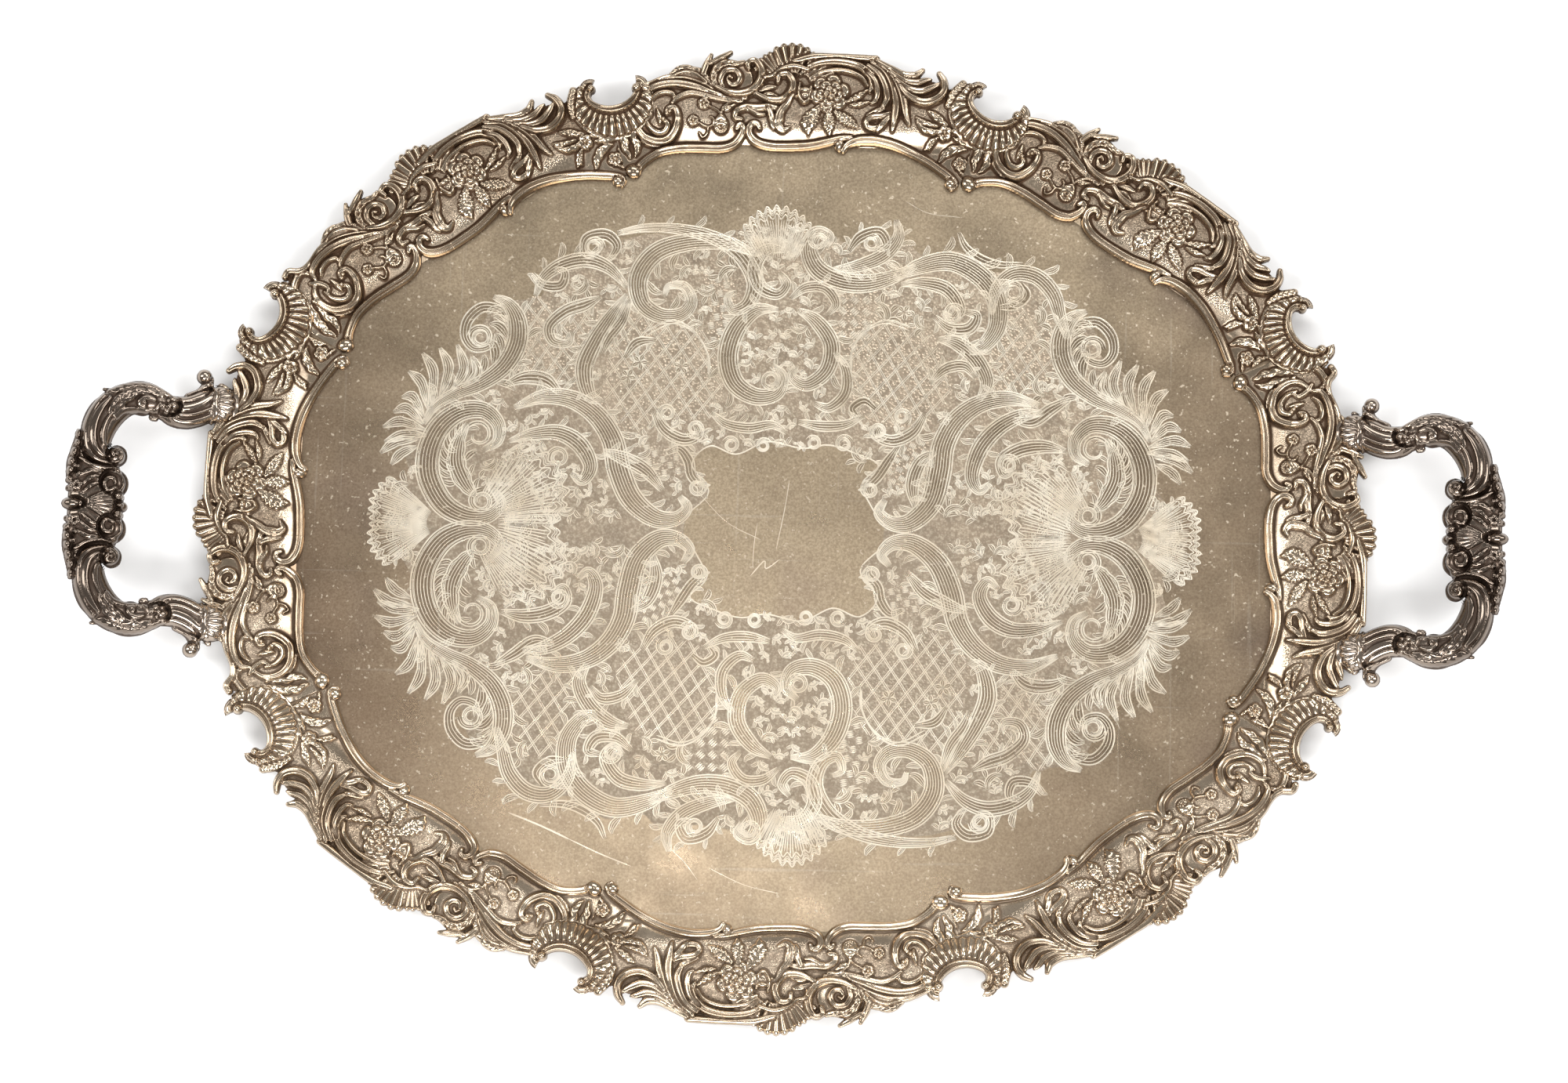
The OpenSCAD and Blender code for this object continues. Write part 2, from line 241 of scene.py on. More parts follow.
def bud_side(r):
    """The casting from a notch to the shell: scrolls round a panel with three buds."""
    R = r.ribbon
    # moulding, from the notch ball to the cusp
    R([(-83, 2, 2.0), (-81.5, 6, 2.3), (-77, 10.5, 2.3), (-70, 14.6, 2.4), (-60, 16.6, 2.4), (-48, 17, 2.4),
       (-38, 17.2, 2.4), (-31.5, 19.5, 2.3), (-28, 23.5, 2.2), (-27.2, 27, 2.0), (-29, 28.6, 1.6),
       (-30.4, 26.8, 1.3)],
      2.5, 1.0, flutes=2, power=0.4)
    r.dome((-84.6, 3.6), 3.7, 3.2, 0.8, 1.15, 80)
    # leaf sprig below the fan
    R([(-88.5, 30, 0.8), (-90, 24, 2.4), (-89.6, 18, 2.8), (-86.5, 11, 0.9)],
      2.0, veins=4, teeth=3, tooth=0.3)
    R([(-86, 28, 0.8), (-85, 22, 2.2), (-82.8, 17, 2.4), (-83.8, 12, 0.8)],
      1.9, veins=3, teeth=3, tooth=0.3)
    R([(-86.5, 31, 0.9), (-82.5, 24.5, 0.9), (-79.5, 19.5, 0.9), (-75, 17.8, 0.8), (-71, 17.6, 0.6)],
      1.5, 0.8)
    # stepped acanthus sweeping along the top
    R([(-97, 32, 1.2), (-94, 38, 1.8), (-90, 44, 2.0), (-84, 47.5, 2.0), (-80, 44, 1.2)], 2.0, flutes=2)
    R([(-92, 50, 2.0), (-89, 51.3, 2.0), (-84, 48.5, 1.8), (-78, 48.8, 1.8), (-69, 52.5, 2.0),
       (-59, 53.8, 2.2), (-49, 51, 2.2), (-40, 46.8, 1.8), (-30, 44.3, 1.2)], 2.6, 0.9, flutes=2)
    R([(-79.5, 40, 1.0), (-78.8, 44.5, 1.8), (-73, 48.2, 2.2), (-64, 49.8, 2.3), (-54, 48.4, 2.4),
       (-45, 45.3, 2.0), (-36, 43.2, 1.6), (-26, 42.8, 1.0)], 2.8, 0.8, flutes=2, lean=0.2)
    R([(-76, 40.5, 0.8), (-73.5, 43.5, 1.4), (-69, 45.2, 1.4), (-64.5, 44.2, 1.3), (-63.8, 40.5, 1.0),
       (-65, 38.6, 0.6)], 1.7, 0.4)
    R([(-65, 39.5, 0.9), (-61, 43, 1.6), (-55, 45, 1.7), (-47, 43.6, 1.6), (-38, 41.6, 1.2),
       (-28, 41.2, 0.8)], 2.0, 0.5, flutes=2)
    # leaf that stands out of the sweep
    R([(-66, 55.3, 1.0), (-62.5, 57.5, 2.0), (-57, 58, 2.6), (-51, 56, 2.8), (-46, 52, 2.2),
       (-42, 47.5, 1.4)], 2.6, 0.9, veins=5,
      teeth=3, tooth=0.25)
    R([(-63, 54.8, 0.8), (-58, 56, 1.1), (-52, 54.4, 1.2), (-47, 50.6, 0.9)], 2.4, 1.6)
    # C-scroll that closes the panel, and the small scrolls in it
    R([(-81, 38.5, 1.0), (-84, 33, 1.6), (-83.4, 27, 1.9), (-79.2, 22, 2.1), (-72, 19.9, 2.3),
       (-65.8, 21.6, 2.5), (-62.2, 27, 2.4), (-61.8, 33, 2.0), (-63.6, 36.7, 1.7), (-66.8, 36.4, 1.5),
       (-67.6, 33.6, 1.2)], 2.6, 0.6, flutes=2)
    R([(-79, 32, 0.9), (-77, 27, 1.3), (-72.5, 24, 1.6), (-68.6, 24.6, 1.7), (-67, 28, 1.5),
       (-69.5, 30.4, 1.3)], 2.1, 0.5)
    R([(-83, 40, 0.9), (-79, 37.4, 1.6), (-76.4, 33.4, 1.4), (-77.5, 30.6, 0.8)], 1.7, 0.5, flutes=2)
    R([(-72.8, 36, 0.6), (-71.5, 32, 1.5), (-71, 28.5, 0.7)], 1.5, 0.5)
    r.dome((-69.4, 30.4), 1.5, 2.4, 0.8)
    r.dome((-66, 34.6), 1.4, 2.4, 0.9)
    # buds on curling stems
    R([(-45, 38.2, 0.55), (-41, 36.2, 0.6), (-39, 34, 0.6)], 1.1, 0.5)
    R([(-51, 29.6, 0.55), (-47, 27.6, 0.6), (-43.4, 28.2, 0.6), (-42.8, 31.2, 0.6), (-44.6, 32.6, 0.6)],
      1.2, 0.5)
    R([(-50.2, 24.4, 0.6), (-48.6, 22.4, 0.6), (-46.2, 24, 0.6), (-45.6, 27.6, 0.5)], 1.2, 0.5)
    R([(-38.6, 33, 0.6), (-38.3, 37, 0.7), (-34.5, 40.4, 0.7), (-29, 42, 0.5)], 1.2, 0.5)
    R([(-38.6, 36.6, 0.5), (-35.6, 37.2, 1.6), (-32, 39.6, 0.5)], 1.3, 0.5, veins=3)
    for at, size, turn in (((-48.2, 39.6), 2.5, 10), ((-53.6, 30.4), 2.3, 30)):
        r.petals(at, size * 0.72, 5, size * 0.62, 1.5, 0.5, turn, 1.25)
        r.dome(at, size * 0.5, 2.0, 0.9)
    r.dome((-38.9, 28.4), 4.1, 2.2, 0.4, 1.0)
    for row in range(3):
        for k in range(-3, 4):
            u = k * 18 * (1 - 0.15 * row)
            q = (-38.9 + (3.7 - row * 1.15) * math.sin(math.radians(u)),
                 28.4 - (3.7 - row * 1.15) * math.cos(math.radians(u)))
            r.dome(q, 0.62, 0.8, 1.0 + 0.45 * row)
    R([(-41.2, 31, 0.8), (-38.9, 32.6, 1.5), (-36.6, 31, 0.8)], 1.4, 1.2)
    # curl that hangs over the cusp
    R([(-6, 37, 1.2), (-13, 38.4, 2.0), (-20, 37.6, 2.6), (-26.5, 37.9, 2.2), (-31, 35.6, 1.9),
       (-31.2, 32.2, 1.7), (-28.2, 31.6, 1.2)],
      2.6, 0.5, flutes=2)
    R([(-25, 37.4, 0.8), (-20, 34.6, 1.2), (-16, 34.4, 0.8)], 1.6, 0.6)
    R([(-14, 37.6, 1.4), (-12.4, 34, 1.9), (-12, 29.6, 1.2), (-11, 27.4, 0.7)], 2.0, 0.5, flutes=2)
    # whorl of leaves and its closing scroll
    R([(-49, 55.5, 1.8), (-47.4, 60.5, 2.0), (-45, 66, 1.1)], 2.2, 0.7, cut=0.5)
    R([(-45, 61.5, 1.4), (-39.5, 64.6, 1.9), (-34.6, 67.6, 1.2)], 2.2, 0.7, cut=0.4)
    r.dome((-33, 53), 10.5, 0.9, 0.6, 0.95, 0, 0.3)
    R([(-40.5, 46.8, 1.2), (-43.2, 52, 2.2), (-42.3, 57.6, 2.6), (-37.6, 61.2, 2.7), (-31.2, 61.4, 1.9),
       (-27.5, 62.5, 1.2)], 2.6, 1.0,
      flutes=2, veins=6)
    R([(-38, 47.5, 1.2), (-39.6, 52.4, 1.9), (-37.3, 56.8, 2.1), (-32.6, 57.6, 1.9), (-29.6, 54.4, 1.9),
       (-30.6, 50.6, 1.8), (-33.8, 49.6, 1.5), (-35.6, 51.4, 1.1)], 2.6, 1.2, flutes=2)
    R([(-33.4, 53.2, 0.8), (-35.2, 54.2, 1.0), (-36.4, 52.4, 0.7)], 2.4, 1.2)
    R([(-42, 48.6, 1.2), (-35, 45.6, 1.9), (-27.5, 45.2, 2.4), (-21.2, 48, 2.7), (-18.2, 53.6, 2.7),
       (-18.6, 59.4, 2.5), (-22, 63.2, 2.0), (-25.6, 61.8, 1.7), (-24.9, 58.8, 1.3)], 3.3, 1.2, flutes=2)


def shell(r):
    """Three lobes of ribs that crown the joint between the castings."""
    r.fan((-5.5, 51.5), 104, 160, 5, 19.5, 6, 2.4)
    r.fan((2.5, 51.5), 12, 74, 5, 19.5, 6, 2.4)
    r.fan((-2.2, 50), 62, 119, 7, 23.8, 5, 3.2, 0.8)


def middle(r):
    """The shell and the scroll under it, which the two castings share."""
    R = r.ribbon
    R([(-17, 54.2, 0.9), (-12, 55.4, 1.3), (-7.5, 59, 1.6), (-1, 60.8, 1.8), (6.5, 59, 1.4)], 2.8, 0.9)
    R([(-19, 47.2, 1.0), (-14.5, 48.8, 1.7), (-10.5, 49.4, 0.8)], 1.6, 0.4, cut=0.4)
    R([(-17.5, 44.6, 1.0), (-13.6, 45.4, 1.4), (-9, 44.2, 0.6)], 1.6, 0.5)
    R([(-21, 45.4, 1.2), (-14, 42.4, 1.9), (-7, 42.4, 2.3), (-2.4, 46.4, 2.5), (-1.4, 52, 2.3),
       (-4.4, 56.2, 2.0), (-8.6, 55.6, 1.7), (-9.4, 52.2, 1.3)], 3.0, 0.9, flutes=2)
    R([(-1, 46, 1.0), (-4.5, 40.5, 1.9), (-8, 35, 2.7), (-8.6, 29.6, 2.9), (-6, 26.6, 1.8),
       (-2.4, 28.2, 0.8)], 2.2, 0.5, flutes=3,
      teeth=3, tooth=0.2)


def rose_side(r):
    """The casting from the shell to the next notch: rose cartouche, acanthus and fan."""
    R = r.ribbon
    # moulding: from the cusp to the ball, and on to the notch
    R([(-18.6, 27.2, 1.2), (-19.8, 29.2, 1.6), (-22.4, 29, 2.0), (-24, 26, 2.2), (-22.6, 22.4, 2.3),
       (-18, 19.8, 2.3), (-11, 18.6, 2.3), (-2, 18.7, 2.3), (8, 19.4, 2.3), (17, 21.2, 2.2), (24, 23, 1.8),
       (30, 24, 1.0)], 2.5, 1.0, flutes=2, power=0.4)
    r.dome((24.2, 19.6), 2.9, 2.8, 0.8)
    R([(26, 17.4, 1.4), (28, 20.2, 1.8), (33, 22.2, 2.3), (42, 22.6, 2.4), (52, 20.8, 2.4),
       (61, 17.6, 2.4), (70, 13, 2.4), (77.5, 8, 2.4), (83, 3.8, 2.3), (85.4, 0.4, 2.0),
       (83.6, -1.6, 1.6)], 2.5, 1.0, flutes=2, power=0.4)
    r.dome((82.8, 1.0), 3.0, 3.0, 0.9)
    # rim of the cartouche
    R([(-1, 63.6, 1.8), (9, 66.4, 2.0), (20, 66.6, 1.9), (32, 66.4, 1.9), (42.4, 66, 1.9)], 2.2, 0.8)
    R([(2.5, 56.4, 1.0), (7, 60.4, 1.7), (14, 62.9, 2.1), (23.5, 63.4, 2.3), (33, 61.4, 2.5),
       (39, 57, 2.6), (40.8, 51.6, 2.2), (39.4, 48.2, 1.2)], 3.2, 1.0, flutes=2)
    R([(7.5, 54.8, 0.8), (13, 57.8, 1.2), (20.5, 59.2, 1.4), (28, 58.6, 1.5), (34.6, 55.8, 1.4),
       (38, 51.2, 1.0)], 2.2, 0.6)
    # oval bud
    r.dome((5.2, 46), 3.9, 1.8, 0.4, 1.6, 90, 0.4)
    R([(2.2, 51.6, 0.9), (1.8, 45.6, 1.1), (4.4, 41.2, 1.2), (7.6, 43.6, 1.1), (8.2, 50, 0.8)], 2.6, 0.6)
    r.dome((5.1, 48), 1.7, 2.6, 0.8, 1.9, 90)
    # rose
    r.petals((18.2, 46.6), 7.2, 6, 3.5, 2.0, 0.5, 15, 1.15, 0.5)
    r.petals((18.2, 46.6), 4.4, 5, 2.9, 2.6, 1.0, 50, 1.2, 0.55)
    r.petals((18.4, 46.4), 2.1, 4, 1.9, 3.4, 1.4, 20, 1.2, 0.5)
    r.dome((18.6, 46.2), 1.1, 4.4, 1.4)
    # serrated leaves under the rose
    for pts in ([(12.4, 39.6, 1.2), (9.6, 34.6, 4.2), (7.2, 29.6, 4.6), (7.4, 25, 0.8)],
                [(17.6, 37.4, 1.2), (18, 33, 3.5), (18, 29, 3.6), (18.6, 25, 0.8)],
                [(21.2, 36.8, 1.2), (25, 34.2, 3.2), (29, 31.6, 3.2), (33, 29, 0.8)]):
        R(pts, 1.7, 0.4, veins=5, teeth=6, tooth=0.28, cut=0.35)
    R([(27.5, 42.4, 1.0), (32.6, 44.8, 2.3), (38, 49, 0.7)], 2.2, 0.5, veins=4, teeth=4, tooth=0.25)
    R([(29, 40.6, 0.8), (34, 41, 1.6), (39, 42.6, 0.6)], 1.8, 0.5, veins=3)
    # acanthus bunch falling inward
    for pts, tall in (([(37, 59, 1.0), (41.6, 54.6, 1.6), (43.2, 48.6, 1.9), (42.6, 43.6, 1.6),
                        (40.4, 41.8, 0.9)], 2.3),
                      ([(49, 42, 1.0), (45.6, 38.6, 1.7), (41.4, 36.6, 1.6), (38.4, 35.4, 1.0)], 2.0),
                      ([(51, 37, 1.0), (46.4, 35, 1.8), (41, 34.2, 2.0), (37.8, 32, 1.9), (38.6, 29, 1.7),
                        (43, 28.4, 1.9), (47, 30.6, 1.0)], 2.3),
                      ([(52, 36, 0.9), (48.4, 33, 1.8), (45.6, 29.6, 1.9), (44, 27.4, 0.8)], 2.0),
                      ([(38, 62.4, 1.2), (44, 57.6, 1.9), (47.4, 51, 2.3), (48.4, 44.6, 2.3),
                        (46.6, 40.2, 1.6)], 2.8),
                      ([(40, 64, 1.2), (47, 59.4, 2.0), (51.2, 52, 2.4), (53, 44, 2.5), (52.8, 36, 2.4),
                        (51.6, 27.6, 0.9)], 3.0),
                      ([(43, 64.6, 1.2), (50.5, 58.6, 2.0), (55, 50.6, 2.4), (57.4, 42.6, 2.4),
                        (58.6, 35.6, 1.9), (60.4, 30.6, 0.8)], 3.0)):
        R(pts, tall, 0.6, flutes=2)
    # acanthus turning outward, ending in the bright curl beside the fan
    for pts, tall in (([(43, 65, 1.2), (50, 61.2, 1.8), (57, 57.6, 2.3), (63, 57.4, 2.3), (67, 60.4, 1.3)],
                       2.4),
                      ([(50, 59, 1.2), (57, 54.6, 2.0), (63.6, 53.4, 2.3), (69, 55, 1.6),
                        (71.4, 55.4, 0.8)], 2.3),
                      ([(53, 55, 1.2), (59, 50.4, 2.1), (65.6, 48.8, 2.3), (71.4, 50.6, 2.1),
                        (75.6, 53, 1.2)], 2.4),
                      ([(55, 51.6, 1.2), (60, 46, 2.1), (67, 43, 2.5), (74, 44.4, 2.6), (78.2, 49, 2.4),
                        (78.2, 54.6, 2.2), (75.8, 58.8, 1.5)], 3.0)):
        R(pts, tall, 0.7, flutes=2)
    # sprigs and flowers
    for pts in ([(70.5, 38.4, 0.8), (75, 35.2, 2.4), (80.5, 31, 0.8)], [(64.4, 33, 0.8), (67.6, 29, 1.7),
                                                                        (73, 27.4, 1.9), (77.4, 28.4, 0.8)],
                [(64, 35, 0.7), (69, 32, 1.6), (75.4, 30.4, 0.7)],
                [(76, 25, 0.7), (72.4, 22.6, 1.9), (69.2, 19, 0.8)], [(74, 22.6, 0.7), (71.6, 19.8, 1.2),
                                                                      (71.6, 18.6, 0.6)],
                [(91, 19.6, 0.8), (86, 19.8, 2.4), (80.6, 17.6, 2.5), (76.8, 13, 0.8)], [(83, 28.6, 0.7),
                    (88, 26, 1.7), (94, 23.6, 0.7)],
                [(84, 25, 0.7), (89, 22.6, 1.7), (96, 20.6, 0.7)], [(84, 31, 0.7), (88.4, 28.8, 1.2),
                                                                    (92, 27.6, 0.6)],
                [(96.6, 18.6, 0.7), (93.6, 14.6, 2.2), (93.4, 9.6, 0.8)],
                [(87, 9, 0.6), (89, 6.6, 1.2), (90.4, 4.6, 0.6)]):
        R(pts, 1.7, 0.5, veins=4, teeth=3, tooth=0.2)
    for at in ((79.2, 27), (88, 12)):
        r.petals(at, 2.4, 5, 1.75, 1.7, 0.6, 30, 1.15, 0.4)
        r.dome(at, 1.35, 2.3, 0.9)


def notch_fan(r):
    """Gadroons round an open C-scroll, which reach over the joint to the next repeat."""
    R = r.ribbon
    notch = [(96.4, 49.2), (93, 46.8), (92.4, 42.6), (95, 37.8), (99.6, 33.8), (105.6, 31.6),
             (111.6, 31.8), (116, 34), (117.6, 37)]
    deep = [5, 7, 11, 13, 13.5, 13.5, 12, 8.5, 6]
    r.fringe([(x, y, q + 1.4) for (x, y), q in zip(notch, deep)], 2.0, 15, 1, 1.0, 0.7, -1)
    r.fringe([(x, y, q) for (x, y), q in zip(notch, deep)], 2.0, 14, 17, 2.6, 1.2, -1)
    R([(80.6, 41.6, 1.6), (83.6, 48, 2.4), (88.4, 53.4, 2.2)], 2.2, 0.8, veins=5)
    wide = [2.1, 2.0, 2.0, 2.3, 2.5, 2.6, 2.5, 2.2, 2.3]
    R([(x, y, q) for (x, y), q in zip(notch, wide)], 4.0, 1.4, flutes=2)
    r.dome((96.8, 48.8), 2.3, 4.2, 1.4)
    r.dome((117.2, 36.4), 2.6, 4.2, 1.4)


NOTCH = [(96.4, 49.2), (93, 46.8), (92.4, 42.6), (95, 37.8), (99.6, 33.8), (105.6, 31.6), (111.6, 31.8),
         (116, 34), (117.6, 37), (129, 58), (106, 76)]
BUD_FIELD = [(-89, 4), (-82, 3), (-79, 9), (-72, 14), (-64, 16.5), (-36, 16.5), (-29, 19.5), (-24.5, 24),
             (-22, 23), (-17, 19), (-9.5, 18), (2, 18), (2, 62), (-9, 62), (-20, 60), (-24, 62), (-36, 64),
             (-46, 62), (-50, 55), (-58, 57), (-66, 54), (-80, 49), (-91, 49), (-101, 30)]
ROSE_FIELD = [(-9.5, 18), (2, 18), (14, 19.5), (30, 22.5), (44, 22), (56, 19), (66, 15), (76, 8.5),
              (82, 3), (90, 1), (104, 28), (96, 36), (90, 46), (86, 52), (80, 50), (74, 54), (66, 56),
              (58, 56), (50, 60), (42, 65), (20, 66), (4, 64), (-10, 60), (-10, 40)]


def repeat():
    """One whole repeat, with the outline of its fan kept apart."""
    r = Relief((-104, -6), (130, 78), BORDER_STEP)
    r.ground(BUD_FIELD)
    r.ground(ROSE_FIELD)
    shell(r)
    bud_side(r)
    rose_side(r)
    middle(r)
    ground_edge = r.edge
    r.edge = np.full_like(r.X, -9.0)
    notch_fan(r)
    fan_edge = r.edge
    r.edge = np.full_like(r.X, -9.0)
    r.ground(NOTCH)
    return r, ground_edge, fan_edge, r.edge


# ---- From flat fields to meshes

def smooth(t):
    t = np.clip(t, 0, 1)
    return t * t * (3 - 2 * t)


def field_height(out):
    """Height of the castings' plain field, by distance out from the chord."""
    return 2.3 + 7.4 * smooth((out - 16) / 16) + 0.9 * smooth((out - 30) / 18)


def sheet_height(out):
    """Height of the sheet's top face under the castings."""
    return SHEET + (LIP_TOP - SHEET) * np.clip((out - FLANGE_START) / (LIP_START - FLANGE_START), 0, 1)


def blur(a, n):
    """Box blur with edge padding, by running sums."""
    for axis in (0, 1):
        a = np.moveaxis(a, axis, 0)
        p = np.concatenate([np.repeat(a[:1], n + 1, 0), a, np.repeat(a[-1:], n, 0)])
        c = np.cumsum(p, 0)
        a = (c[2 * n + 1:] - c[:-2 * n - 1]) / (2 * n + 1)
        a = np.moveaxis(a, 0, axis)
    return a


def soften(a):
    """One light pass that takes the grid's steps out of steep sides."""
    for axis in (0, 1):
        a = np.moveaxis(a, axis, 0)
        p = np.concatenate([a[:1], a, a[-1:]])
        a = np.moveaxis(0.25 * p[:-2] + 0.5 * p[1:-1] + 0.25 * p[2:], 0, axis)
    return a


def sample(relief, grid, x, y):
    """Reads a grid between its points."""
    u = np.clip((x - relief.x[0]) / relief.step, 0, len(relief.x) - 1.001)
    v = np.clip((y - relief.y[0]) / relief.step, 0, len(relief.y) - 1.001)
    i, j = u.astype(int), v.astype(int)
    a, b = u - i, v - j
    return (grid[j, i] * (1 - a) * (1 - b) + grid[j, i + 1] * a * (1 - b)
            + grid[j + 1, i] * (1 - a) * b + grid[j + 1, i + 1] * a * b)


def plan_mesh(relief, inside):
    """Quads over the part of the grid that is inside, with its rim pulled onto the outline.
    Returns plan points, quads and the rim's edges."""
    cell = np.maximum.reduce([inside[:-1, :-1], inside[:-1, 1:], inside[1:, :-1], inside[1:, 1:]]) > 0
    rows, columns = np.nonzero(cell)
    wide = len(relief.x)
    corner = rows * wide + columns
    quads = np.stack([corner, corner + 1, corner + wide + 1, corner + wide], 1)
    used, quads = np.unique(quads, return_inverse=True)
    quads = quads.reshape(-1, 4)
    px, py = relief.X.ravel()[used].copy(), relief.Y.ravel()[used].copy()
    gy, gx = np.gradient(inside, relief.step)
    for _ in range(3):
        f = sample(relief, inside, px, py)
        sx, sy = sample(relief, gx, px, py), sample(relief, gy, px, py)
        slope = np.sqrt(np.maximum(sx**2 + sy**2, 0.05))
        move = np.where(f < 0, np.clip(f / slope, -relief.step, 0), 0)
        px -= move * sx / slope
        py -= move * sy / slope
    edges = np.concatenate([quads[:, [k, (k + 1) % 4]] for k in range(4)])
    key = edges.min(1).astype(np.int64) * len(used) + edges.max(1)
    _, first, count = np.unique(key, return_index=True, return_counts=True)
    return np.stack([px, py], 1), quads, edges[first[count == 1]]


def new_mesh(name, points, faces, **layers):
    mesh = bpy.data.meshes.new(name)
    mesh.from_pydata(points.tolist(), [], faces)
    for key, values in layers.items():
        layer = mesh.attributes.new(key, "FLOAT", "POINT")
        layer.data.foreach_set("value", values.astype(np.float32))
    mesh.polygons.foreach_set("use_smooth", [True] * len(mesh.polygons))
    mesh.update()
    return mesh


def cavity(height):
    """0 on open metal, up to 1 in the bottom of grooves and corners."""
    fine = blur(height, 3) - height
    broad = blur(height, 8) - height
    return np.clip(1.2 * fine + 0.5 * broad, -0.5, 1.0)


def closed_casting(name, relief, inside, top, under, rows, matted, outer):
    """A closed mesh: the relief on top, a skirt round its rim and a plain back."""
    plan, quads, rim_edges = plan_mesh(relief, inside)
    top = soften(top)
    z = sample(relief, top, plan[:, 0], plan[:, 1])
    stain = sample(relief, cavity(top), plan[:, 0], plan[:, 1])
    mat = sample(relief, matted, plan[:, 0], plan[:, 1])
    far = sample(relief, outer, plan[:, 0], plan[:, 1])
    rim = np.unique(rim_edges)
    place = {int(v): n for n, v in enumerate(rim)}
    verts = [Vector(plan[v]) for v in rim]
    links = [(place[int(a)], place[int(b)]) for a, b in rim_edges]
    for row in rows:
        row = np.array(row, float)
        keep = sample(relief, inside, row[:, 0], row[:, 1]) > 1.0
        for a, b, on_a, on_b in zip(row, row[1:], keep, keep[1:]):
            between = np.linspace(a, b, 9)
            if on_a and on_b and (sample(relief, inside, between[:, 0], between[:, 1]) > 0.4).all():
                verts += [Vector(a), Vector(b)]
                links.append((len(verts) - 2, len(verts) - 1))
    flat, _, triangles, sources, _, _ = delaunay_2d_cdt(verts, links, [], 1, 1e-5)
    low = np.array([v[:] for v in flat])
    triangles = [t for t in triangles if sample(relief, inside, *np.mean(low[list(t)], 0)[:, None])[0] > 0]
    count = len(plan)
    partner = {}
    for n, group in enumerate(sources):
        for s in group:
            if s < len(rim):
                partner[int(rim[s])] = count + n
    points = np.vstack([np.column_stack([plan, z]), np.column_stack([low, under(low[:, 0],
                                                                                low[:, 1])])]) * MM
    faces = quads.tolist()
    for a, b in rim_edges.tolist():
        if partner[a] != partner[b]:
            faces.append([b, a, partner[a], partner[b]])
    faces += [[count + i for i in reversed(t)] for t in triangles]
    back = np.ones(len(low))
    return new_mesh(name, points, faces, stain=np.concatenate([stain, back * 0.3]),
                    matted=np.concatenate([mat, back * 0]), outer=np.concatenate([far, back]))


def closed_shell(name, relief, inside, top, bottom):
    """A closed mesh with a relief above and a plain rounded side below."""
    plan, quads, rim_edges = plan_mesh(relief, inside)
    top = soften(top)
    x, y = plan[:, 0], plan[:, 1]
    stain = sample(relief, cavity(top), x, y)
    count = len(plan)
    points = np.vstack([np.column_stack([plan, sample(relief, top, x, y)]),
                        np.column_stack([plan, sample(relief, bottom, x, y)])]) * MM
    faces = quads.tolist() + (quads[:, ::-1] + count).tolist()
    faces += [[b, a, a + count, b + count] for a, b in rim_edges.tolist()]
    none = np.zeros(2 * count)
    return new_mesh(name, points, faces, stain=np.tile(stain, 2), matted=none, outer=none)


# ---- The border castings

SHORT_TURN = TURN
LONG_TURN = math.pi / 2 - TURN


def across_joint(x, y, joint, way):
    """A point of one repeat's flat frame, read in that of the next repeat (way 1) or the last (-1)."""
    px, turn = x - way * CHORD / 2, way * joint
    c, s = math.cos(turn), math.sin(turn)
    return px * c - y * s - way * CHORD / 2, px * s + y * c


def repeat_place(k):
    """Where a repeat's flat frame stands in the tray; repeats run clockwise from the back."""
    turn = math.pi * (k // 4) + [0, TURN, math.pi / 2, math.pi - TURN][k % 4]
    diagonal = CHORD / 2 * (1 + math.cos(TURN)), CHORD / 2 * (1 + math.sin(TURN))
    x, y = [(0, CHORD * (0.5 + math.sin(TURN))), diagonal, (CHORD * (0.5 + math.cos(TURN)), 0),
            (diagonal[0], -diagonal[1])][k % 4]
    half = -1 if k >= 4 else 1
    return Matrix.Translation((half * x * MM, half * y * MM, 0)) @ Matrix.Rotation(-turn, 4, "Z")


def joint_before(k):
    return "short" if k % 4 in (0, 1) else "long"


def seam(y):
    """Where the two castings of a repeat meet."""
    return -9.5 + 5.5 * smooth((y - 18) / 50)


def build_castings():
    """Two bud and two rose castings: one for each angle of joint."""
    relief, ground_edge, fan_edge, notch = repeat()
    X, Y, height = relief.X, relief.Y, relief.h
    plain = np.clip(1 - height / 0.4, 0, 1)
    rows = [[(x, out) for x in range(-112, 132, 11)] for out in (FLANGE_START, LIP_START)]
    meshes = {}
    for name, joint in (("short", SHORT_TURN), ("long", LONG_TURN)):
        for kind, way in (("bud", -1), ("rose", 1)):
            def out_from(x, y, joint=joint, way=way):
                return np.where(x * way < 0, y, np.maximum(y, across_joint(x, y, joint, way)[1]))

            def under(x, y, out_from=out_from):
                return sheet_height(out_from(x, y))

            mitre = (CHORD / 2 + math.tan(joint / 2) * Y - way * X) * math.cos(joint / 2)
            if kind == "bud":
                fx, fy = across_joint(X, Y, joint, -1)
                reached = (fx > relief.x[0]) & (fx < relief.x[-1]) & (fy > relief.y[0]) & (fy < relief.y[-1])
                over = np.where(reached, sample(relief, fan_edge, fx, fy), -9)
                gap = np.where(reached, sample(relief, notch, fx, fy), -9)
                inside = np.minimum.reduce([ground_edge, seam(Y) - X, mitre, 1.2 - over, -gap])
            else:
                inside = np.minimum(np.maximum(np.minimum(ground_edge, mitre), fan_edge), X - seam(Y))
            out = out_from(X, Y)
            meshes[kind, name] = closed_casting(
                f"{kind}_{name}", relief, inside, field_height(out) + height, under, rows,
                plain * smooth((out - 22) / 12), smooth((out - 22) / 46))
    return meshes


# ---- The handles, flat in their own plane: x outward from the tray, y along the grip

